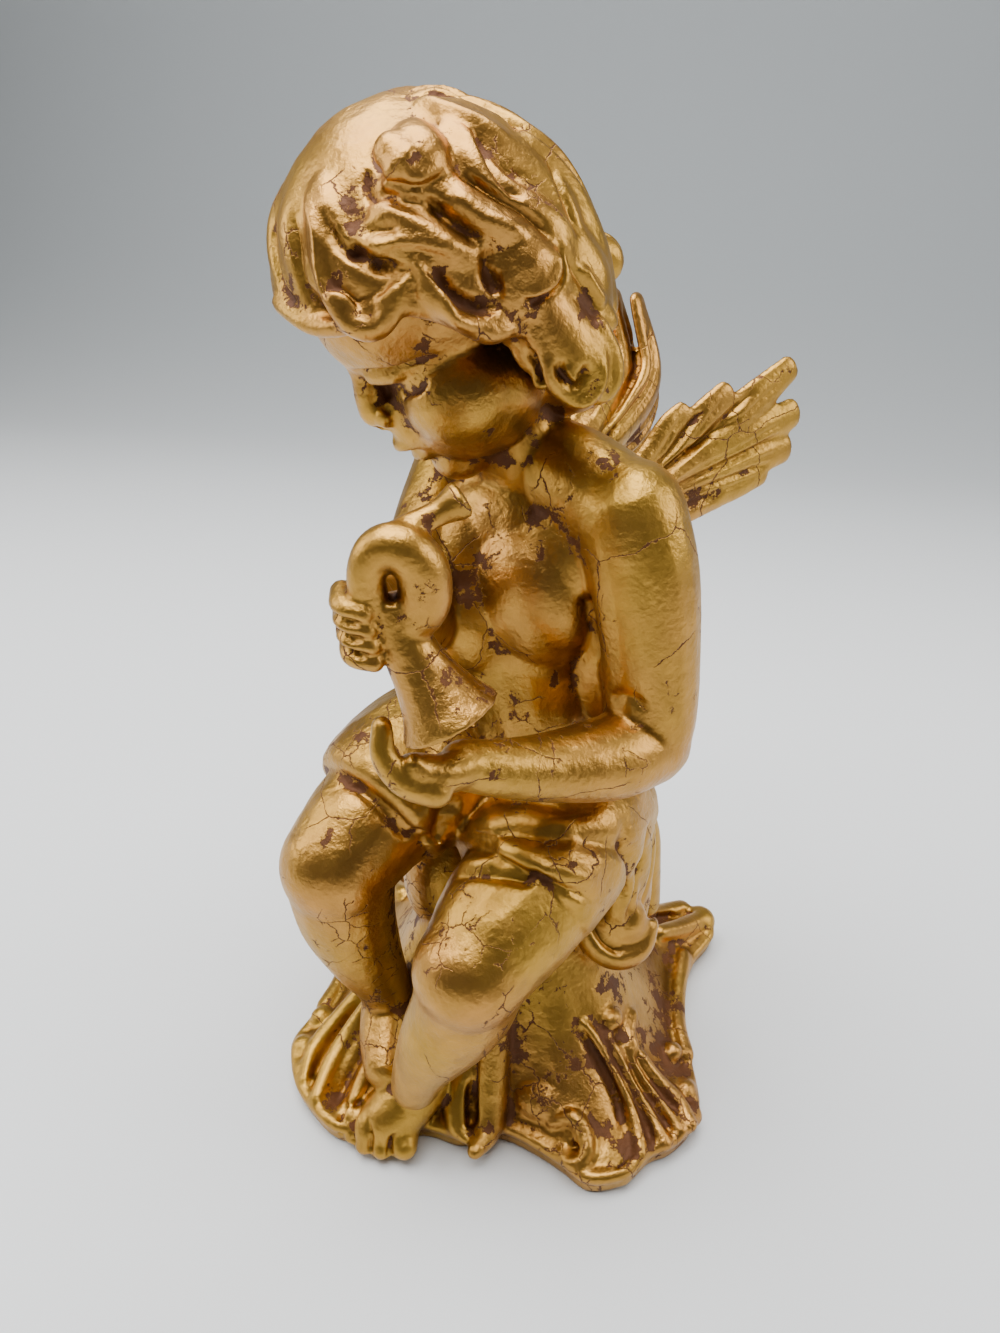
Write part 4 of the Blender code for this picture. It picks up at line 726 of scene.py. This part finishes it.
LEFT_ARM = [(22, 26, 184, 9, 0.7), (30, 34, 184, 10, 0.5), (42, 43.5, 189, 9, 0.38),
            (53, 52, 195, 6, 0.34)]
RIGHT_QUILLS = [
    [(12, 38, 188, 5), (22, 62, 195, 6), (27, 78, 205, 6.4), (21, 83, 225, 4)],
    [(10, 40, 190, 5), (17, 63, 198, 6), (20, 78, 207, 6.2), (14, 84, 226, 4)],
    [(8, 41, 192, 5), (12, 64, 202, 5.6), (13, 78, 213, 5.6), (8, 86, 224, 3.6)],
    [(10, 40, 184, 5), (22, 66, 188, 6), (27, 81, 196, 6.2), (25, 90, 209, 4)],
    [(10, 40, 180, 5), (20, 66, 182, 6), (25, 82, 187, 6), (25, 91, 196, 4)],
    [(10, 39, 176, 5), (18, 60, 177, 5.6), (22, 76, 180, 5.6), (24, 86, 186, 3.8)],
]
RIGHT_FACE = Vector((0.93, -0.3, 0.2))
RIGHT_ARM = [(5, 32, 184, 9, 0.7), (12, 44, 186, 11, 0.45), (18, 60, 192, 11, 0.36),
             (22, 74, 200, 8, 0.34)]
FEATHER_SHARE = 0.42


def wing(quills, face, arm):
    """Feathers side by side on the thick arm of a wing."""
    clay = Clay()
    for quill in quills:
        clay.roll([(*row, FEATHER_SHARE) for row in quill], facing=face)
    clay.roll(arm, facing=face)
    return clay


def feather_strokes():
    """Grooves between the feathers, and a shaft down each one, on both faces of both wings."""
    strokes = []
    for quills, face in ((LEFT_QUILLS, LEFT_FACE), (RIGHT_QUILLS, RIGHT_FACE)):
        order = sorted(quills, key=lambda quill: -quill[-1][2])
        for side in (3, -3):
            for quill in quills:
                rows = [Vector(row[:3]) + face * side for row in quill]
                strokes.append((rows, 0.8, 0.5))
            for upper, lower in zip(order, order[1:]):
                rows = [(Vector(a[:3]) + Vector(b[:3])) / 2 + face * side for a, b in zip(upper, lower)]
                strokes.append((rows, 1.2, 1.7))
    return strokes


wings = as_clay(fuse([wing(LEFT_QUILLS, LEFT_FACE, LEFT_ARM), wing(RIGHT_QUILLS, RIGHT_FACE, RIGHT_ARM)],
                     FINE_GRAIN, 3))

# The horn and the hands.
# A hunting horn with one tight coil and an open bell. The right fist closes on the coil, and
# the left hand lies under the bell with a finger hooked up.
def take_away(mesh, cutter):
    """Cuts one mesh out of another."""
    body = bpy.data.objects.new("body", mesh)
    tool = bpy.data.objects.new("tool", cutter)
    for item in (body, tool):
        bpy.context.scene.collection.objects.link(item)
    cut = body.modifiers.new("cut", "BOOLEAN")
    cut.operation = "DIFFERENCE"
    cut.object = tool
    result = bpy.data.meshes.new_from_object(body.evaluated_get(bpy.context.evaluated_depsgraph_get()))
    for item in (body, tool):
        bpy.data.objects.remove(item)
    return result


def horn():
    """A hunting horn: mouthpiece, one tight coil and an open bell."""
    clay = Clay()
    clay.roll([(-1, -49.8, 208.4, 4.3), (-2.6, -50.8, 207.4, 3.7), (-5.5, -52.2, 205.8, 2.8),
               (-10, -55, 203.8, 3), (-14, -58, 201.4, 3.6)], tip=0.2)
    clay.roll([(-17.5, -59, 184, 4), (-18.3, -60, 189, 4.1), (-18.3, -60.6, 195.4, 4.2),
               (-15.7, -60.2, 200.4, 4.6), (-11.2, -59, 200.8, 5.2), (-7.8, -57.8, 196.6, 5.7),
               (-7.2, -57, 190.5, 5.8), (-8.6, -57, 186, 5.6), (-12, -57.5, 183.5, 5.2)])
    clay.roll([(-15, -58, 188.5, 4.8), (-13.2, -58, 182.6, 5.4), (-10.4, -58, 176, 6.2),
               (-7.4, -58.2, 170.5, 7.4), (-4.6, -58.6, 165.8, 9.2), (-2.8, -58.9, 162.8, 11),
               (-2, -59, 161.4, 12.2)], tip=0.05)
    return clay


def horn_mouth():
    """The hollow of the bell, taken out of it."""
    clay = Clay()
    clay.roll([(0.4, -59.4, 157.4, 11.2), (-2.6, -58.9, 162.4, 9.8), (-4.8, -58.6, 166, 7.4),
               (-7.4, -58.2, 170.5, 5.2), (-9.8, -58, 175, 3.6)])
    return clay


def hands():
    """The left hand lies under the bell with a finger hooked up; the right fist holds the coil."""
    clay = Clay()
    clay.roll([(-1, -49, 142, 6.2, 0.9), (-6, -55, 143, 6, 0.8), (-11, -59, 146, 4.8, 0.9)])
    clay.roll([(-6, -59, 141, 4), (-12.5, -61.5, 144.5, 3.6), (-17, -61.5, 151, 3.1),
               (-17.8, -59.5, 157.5, 2.4)])
    clay.roll([(-4, -56, 144, 3.2), (-8, -59, 145.5, 3.2), (-10.5, -60.5, 149, 2.6)])
    clay.roll([(-22.5, -50, 184, 6.4, 0.9), (-21.5, -56, 183.5, 6.6, 0.9), (-21, -58, 180.5, 6, 0.9)])
    for k in range(4):
        z = 188.6 - 3.7 * k
        clay.roll([(-25.4 + 0.4 * k, -57, z, 2.7), (-23.2 + 0.5 * k, -62.5, z - 0.6, 2.7),
                   (-18.5 + 0.6 * k, -64, z - 1, 2.2)])
    return clay


instrument = as_clay(take_away(fuse([horn()], FINE_GRAIN, 4), fuse([horn_mouth()], FINE_GRAIN, 1)))

# The casting.
# All of it is one cast body, so the clay is pressed into one skin, the folds, feathers, strands
# and features are cut with a modelling tool, and the foot is pressed flat on the floor.
def rows_of(mesh, name):
    """A three-number property of the mesh's vertices, one row each."""
    rows = np.empty(3 * len(mesh.vertices))
    mesh.vertices.foreach_get(name, rows)
    return rows.reshape(-1, 3)


def carve(mesh, strokes, place=BODY):
    """Draws a modelling tool over the skin: each stroke is its points, its width and its depth.

    The points are laid on the nearest skin. A depth below nought raises a ridge, and a stroke
    fades at both ends.
    """
    spots, normals = (rows_of(mesh, name) for name in ("co", "normal"))
    skin = BVHTree.FromPolygons(spots.tolist(), [polygon.vertices for polygon in mesh.polygons])
    size = place.to_scale()[0]
    moved = np.zeros(len(spots))
    for points, width, depth in strokes:
        line = spline(points, 5)
        line = np.array([skin.find_nearest(place @ Vector(point))[0] for point in line])
        reach = 2.2 * width * size
        near = np.all((spots > line.min(0) - reach) & (spots < line.max(0) + reach), axis=1)
        index = np.nonzero(near)[0]
        here = spots[index]
        best = np.full(len(index), 1e9)
        when = np.zeros(len(index))
        pieces = len(line) - 1
        for k in range(pieces):
            step = line[k + 1] - line[k]
            share = np.clip(((here - line[k]) @ step) / max(step @ step, 1e-12), 0, 1)
            gap = np.linalg.norm(here - line[k] - share[:, None] * step, axis=1)
            closer = gap < best
            best[closer] = gap[closer]
            when[closer] = ((k + share) / pieces)[closer]
        fade = np.clip(4 * np.minimum(when, 1 - when), 0, 1)
        fade = fade * fade * (3 - 2 * fade)
        moved[index] -= depth * size * fade * np.exp(-(best / (width * size)) ** 2)
    spots += normals * moved[:, None]
    mesh.vertices.foreach_set("co", spots.ravel())
    mesh.update()


CREASES = [
    ([(-46, -20, 112), (-42, -27, 115), (-37, -29, 115), (-30, -32, 112), (-25, -33, 107),
      (-20, -33, 102), (-16, -31, 98)], 1.6, 1.4),
    ([(-15, -30, 95), (-8, -33, 99), (1, -36, 104), (10, -37, 105), (19, -36, 102), (26, -33, 98),
      (33, -27, 88)], 2.4, -1.2),
    ([(-16, -34, 94), (-8, -37, 97), (1, -40, 102), (10, -41, 103), (19, -40, 100), (26, -37, 96),
      (33, -30, 85)], 1.6, 1.6),
    ([(-17, -31, 96), (-17, -26, 101), (-15, -24, 107), (-11, -20, 111)], 3.4, 3),
    ([(-14, -24, 100), (-5, -29, 104), (6, -31, 107), (16, -30, 106), (24, -26, 103)], 3.2, 2.2),
    ([(-6, -16, 107), (6, -20, 111), (18, -21, 111), (28, -18, 107)], 3.2, 1.8),
    ([(20, -29, 107), (28, -24, 103), (34, -17, 96), (37, -11, 86)], 3, 2.2),
    ([(-22, -26, 108), (-24, -20, 114), (-24, -12, 119)], 3, 1.6),
    ([(20.5, -8, 172), (21.5, -9, 164), (22.5, -9, 156), (23, -8, 148)], 1.8, 2.2),
    ([(28, -15, 143), (33, -18, 147), (40, -19, 144)], 1.6, 1),
    ([(33, -16, 106), (36, -18, 96), (37, -16, 84), (36, -14, 72)], 2.2, 2.2),
    ([(40, -2, 98), (41, -6, 86), (40, -10, 74), (38, -14, 62)], 2, 2.4),
    ([(42, 6, 90), (43, 3, 76), (43, -2, 64), (42, -7, 56)], 2, 2.4),
    ([(26, -12, 66), (31, -15, 58), (38, -15, 54)], 1.6, 1.8),
]


def fine_strokes():
    """Grooves between the ribs and flutes of the base, between the toes and along the fist."""
    lines = [([(41, -17, 1), (45, -25, 1), (53, -30, 1), (60, -34, 1)], 1.2, 1.6),
             ([(38, -22, 1), (46, -30, 1), (52, -35, 1), (58, -41, 1)], 1.2, 1.6),
             ([(32, -25, 1), (40, -30, 1), (47, -37, 1), (52, -45, 1)], 1.2, 1.6),
             ([(24, -26, 1), (33, -30, 1), (40, -36, 1), (43, -44, 1)], 1.4, 1.4),
             ([(-32, -24, 1), (-40, -35, 1), (-44, -45, 1), (-45, -54, 1)], 2, 2.6),
             ([(-40, -17, 1), (-50, -28, 1), (-54, -38, 1), (-54, -48, 1)], 1.4, 1.8),
             ([(0, -34, 4), (1, -42, 5), (1, -50, 4)], 1.2, 1.6),
             ([(-3, -40, 3), (-3, -46, 4), (-1, -52, 2)], 1.2, 1.8),
             ([(30, -50, 2), (29, -52, 2)], 1.4, 1.8), ([(43, -52, 4), (44, -53, 3)], 1.4, 1.8),
             ([(50, 38, 2), (57, 48, 2), (61, 54, 2)], 1.6, 1.6), ([(44, 42, 2), (52, 52, 2)], 1.4, 1.4),
             ([(-50, 38, 2), (-57, 48, 2), (-61, 54, 2)], 1.6, 1.6),
             ([(-42, 42, 2), (-50, 52, 2)], 1.4, 1.4)]
    strokes = [([row[:3] for row in on_base(points)], width, depth) for points, width, depth in lines]
    for x, y in ((-40, -57), (-35.4, -60.4), (-30, -62.4), (-24.4, -62)):
        strokes.append(([(x * 0.8 - 5, y + 9, 11), (x, y + 3, 8), (x, y, 4)], 0.8, 1.6))
    for k in range(3):
        z = 186.8 - 3.7 * k
        gap = [(-28 + 0.4 * k, -58, z), (-25 + 0.5 * k, -65, z - 0.6), (-17 + 0.6 * k, -67, z - 1)]
        strokes.append((gap, 0.8, 1.5))
    return strokes


TRIANGLES = 190000
SKIN_GRAIN = GRAIN * 0.85
SMOOTH_ANGLE = 70
skin = fuse([limbs, wrap, head, locks, wings, ground, instrument, hands()], SKIN_GRAIN, 2)
carve(skin, CREASES + fine_strokes() + feather_strokes())
carve(skin, face_strokes() + hair_strokes(), HEAD)
bpy.ops.object.select_all(action="DESELECT")
cherub = bpy.data.objects.new("gilded_cherub", skin)
bpy.context.scene.collection.objects.link(cherub)
bpy.context.view_layer.objects.active = cherub
cherub.select_set(True)
thin = cherub.modifiers.new("thin", "DECIMATE")
thin.ratio = TRIANGLES / (2 * len(skin.polygons))
bpy.ops.object.modifier_apply(modifier="thin")
low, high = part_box("cherub_figurine")
points = np.clip(rows_of(cherub.data, "co"), low, high)
cherub.data.vertices.foreach_set("co", points.ravel())
bpy.ops.object.shade_smooth_by_angle(angle=math.radians(SMOOTH_ANGLE))


def depth_under(mesh, passes):
    """How far each point of the skin lies under the skin's own smoothed form, in metres."""
    count = len(mesh.vertices)
    spots, normals = (rows_of(mesh, name) for name in ("co", "normal"))
    ends = np.empty(2 * len(mesh.edges), int)
    mesh.edges.foreach_get("vertices", ends)
    first, second = ends.reshape(-1, 2).T
    share = np.bincount(first, minlength=count) + np.bincount(second, minlength=count)
    soft = spots.copy()
    for _ in range(passes):
        total = [np.bincount(first, row[second], count) + np.bincount(second, row[first], count)
                 for row in soft.T]
        soft = 0.5 * soft + 0.5 * np.array(total).T / share[:, None]
    return ((soft - spots) * normals).sum(1)


# How hollow each point lies; the gilding below uses it to paint shade into the grooves and hollows.
hollow = cherub.data.attributes.new("hollow", "FLOAT", "POINT")
deepest, passes = 0.0012, 40
hollow.data.foreach_set("value", np.clip(0.5 + depth_under(cherub.data, passes) / deepest / 2, 0, 1))
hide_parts("cherub_figurine")
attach(cherub, "root")

# The gilding.
# Imitation gold leaf laid by hand over a brown bole ground and only partly burnished: the leaf
# is crinkled, split along thin cracks and rubbed off in flakes; brown painted shade fills the grooves and
# hollows, and painted highlight and shade lie over the crinkles.
gilding = bpy.data.materials.new("gold leaf over brown bole")
gilding.use_nodes = True
tree = gilding.node_tree
shader = tree.nodes["Principled BSDF"]
spot = add_node(tree, "TexCoord").outputs["Object"]
# Hollowness: drives the painted shade in the grooves and the bole crowding the hollows.
hollowness = add_node(tree, "Attribute", attribute_name="hollow").outputs["Fac"]

# Leaf: yellow where it is thick, rosy where the ground warms it, in clouds of some 50 mm.
cloud = add_node(tree, "TexNoise",
                 {"Vector": spot, "Scale": 1000 / 50, "Detail": 4}).outputs["Fac"]
warmth = add_node(tree, "MapRange", {"Value": cloud, 1: 0.4, 2: 0.62})
leaf = add_node(tree, "Mix", {0: warmth.outputs[0], 6: linear("#b38a39"), 7: linear("#b38240")},
                data_type="RGBA")
# Crumpled leaf: folds of some 4 mm, raised in relief in some places only, with painted highlight and
# shade in the leaf's colour, lighter on the folds and darker between them.
rumple = add_node(tree, "TexNoise",
                  {"Vector": spot, "Scale": 1000 / 38, "Detail": 3}).outputs["Fac"]
rough_zone = add_node(tree, "MapRange",
                      {"Value": rumple, 1: 0.46, 2: 0.6, 3: 0.12, 4: 1}).outputs[0]
wave = add_node(tree, "TexNoise",
                {"Vector": spot, "Scale": 1000 / 7, "Detail": 6, "Roughness": 0.62})
# Painted highlight and shade: the leaf's colour is made lighter and darker with the fold noise.
fold_painted_light = add_node(tree, "MapRange",
                     {"Value": wave.outputs["Fac"], 1: 0.35, 2: 0.65, 3: 0.84, 4: 1.08})
leaf_with_fold_painted_light = add_node(tree, "Mix", {0: 1.0, 6: leaf.outputs[2], 7: fold_painted_light.outputs[0]},
                 data_type="RGBA", blend_type="MULTIPLY")
# Painted shade: a brown darkening that stays in the narrow grooves, where shade falls, and dulls the leaf
# there.
groove_painted_shade = add_node(tree, "MapRange", {"Value": hollowness, 1: 0.6, 2: 0.95, 3: 0, 4: 0.8}).outputs[0]
leaf_with_groove_shade = add_node(tree, "Mix", {0: groove_painted_shade, 6: leaf_with_fold_painted_light.outputs[2], 7: linear("#6e4519")},
                data_type="RGBA")

# Bole: the brown ground shows in torn flakes of 1 to 6 mm, set more often in the hollows as painted
# shade.
flake = add_node(tree, "TexNoise",
                 {"Vector": spot, "Scale": 1000 / 11, "Detail": 9, "Roughness": 0.7})
# Painted shade: the deeper the hollow, the more the brown bole shows.
hollow_shade_bias = add_node(tree, "Math", {0: hollowness, 1: 0.2, 2: -0.1}, operation="MULTIPLY_ADD")
crowd = add_node(tree, "Math", {0: rumple, 1: 0.35, 2: hollow_shade_bias.outputs[0]},
                 operation="MULTIPLY_ADD")
flakes_and_hollow_shade_field = add_node(tree, "Math", {0: flake.outputs["Fac"], 1: crowd.outputs[0]}, operation="ADD")
flakes_and_hollow_shade_mask = add_node(tree, "MapRange", {"Value": flakes_and_hollow_shade_field.outputs[0], 1: 0.76, 2: 0.772})

# Splits: thin lines where the leaf tore as it dried, drawn 0.3 mm wide so that they show.
drift = add_node(tree, "TexNoise",
                 {"Vector": spot, "Scale": 1000 / 22, "Detail": 6, "Roughness": 0.65})
where = add_node(tree, "TexNoise", {"Vector": spot, "Scale": 1000 / 30, "Detail": 2})
torn = []
for bend, cell, inner, outer, zone, none, full in ((0.009, 30, 0.003, 0.007, where, 0.5, 0.54),
                                                   (0.012, 8, 0.01, 0.03, drift, 0.55, 0.58)):
    bent = add_node(tree, "VectorMath", {0: drift.outputs["Color"], 1: [bend] * 3, 2: spot},
                    operation="MULTIPLY_ADD")
    cells = add_node(tree, "TexVoronoi", {"Vector": bent.outputs[0], "Scale": 1000 / cell},
                     feature="DISTANCE_TO_EDGE")
    line = add_node(tree, "MapRange",
                    {"Value": cells.outputs["Distance"], 1: inner, 2: outer, 3: 1, 4: 0})
    patch = add_node(tree, "MapRange", {"Value": zone.outputs["Fac"], 1: none, 2: full})
    torn.append(add_node(tree, "Math", {0: line.outputs[0], 1: patch.outputs[0]},
                         operation="MULTIPLY").outputs[0])
split = add_node(tree, "Math", {0: torn[0], 1: torn[1]}, operation="MAXIMUM")
bole_and_hollow_shade_mask = add_node(tree, "Math", {0: flakes_and_hollow_shade_mask.outputs[0], 1: split.outputs[0]},
                       operation="MAXIMUM")

bole = add_node(tree, "Mix", {0: wave.outputs["Fac"], 6: linear("#40230c"), 7: linear("#6e3f15")},
                data_type="RGBA")
# The bole's brown fills the torn flakes and splits, and the hollows where shade is painted.
colour = add_node(tree, "Mix", {0: bole_and_hollow_shade_mask.outputs[0], 6: leaf_with_groove_shade.outputs[2], 7: bole.outputs[2]},
                  data_type="RGBA")
metal = add_node(tree, "MapRange", {"Value": bole_and_hollow_shade_mask.outputs[0], 3: 1.0, 4: 0.5})
polish = add_node(tree, "MapRange", {"Value": cloud, 1: 0.3, 2: 0.7, 3: 0.44, 4: 0.33})
rough = add_node(tree, "Mix", {0: bole_and_hollow_shade_mask.outputs[0], 2: polish.outputs[0], 3: 0.6})
tree.links.new(colour.outputs[2], shader.inputs["Base Color"])
tree.links.new(metal.outputs[0], shader.inputs["Metallic"])
tree.links.new(rough.outputs[0], shader.inputs["Roughness"])

# Relief of the leaf: crumpled folds of some 4 mm, crinkles near 1 mm and the torn leaf's step.
crumple = add_node(tree, "Math", {0: wave.outputs["Fac"], 1: rough_zone}, operation="MULTIPLY")
crinkle = add_node(tree, "TexNoise", {"Vector": spot, "Scale": 1000 / 1.6, "Detail": 3})
fine = add_node(tree, "Math", {0: crinkle.outputs["Fac"], 1: 0.25, 2: crumple.outputs[0]},
                operation="MULTIPLY_ADD")
step = add_node(tree, "Math", {0: bole_and_hollow_shade_mask.outputs[0], 1: -0.12, 2: fine.outputs[0]},
                operation="MULTIPLY_ADD")
bump = add_node(tree, "Bump", {"Strength": 0.7, "Distance": 0.0011, "Height": step.outputs[0]})
tree.links.new(bump.outputs[0], shader.inputs["Normal"])
cherub.data.materials.append(gilding)

# Light.
# Wide soft boxes overhead and at both sides, and a dim grey room: nothing shines from the
# camera's side, so the gold that faces it turns deep brown as in the photo.
for name, place, size, power in (("overhead", (-0.1, 0, 0.95), 0.9, 23),
                                 ("left", (-0.85, -0.1, 0.5), 0.6, 5),
                                 ("right", (0.85, 0.1, 0.5), 0.5, 4.5)):
    bpy.ops.object.light_add(type="AREA", location=place)
    lamp = bpy.context.object
    lamp.name = name
    lamp.data.size = size
    lamp.data.energy = power
    lamp.rotation_euler = (Vector((0, 0, 0.13)) - lamp.location).to_track_quat("-Z", "Y").to_euler()
room = bpy.data.worlds.new("grey room")
bpy.context.scene.world = room
room.use_nodes = True
glow = room.node_tree.nodes["Background"].inputs
glow["Color"].default_value = linear("#b5b3b0")
glow["Strength"].default_value = 0.26
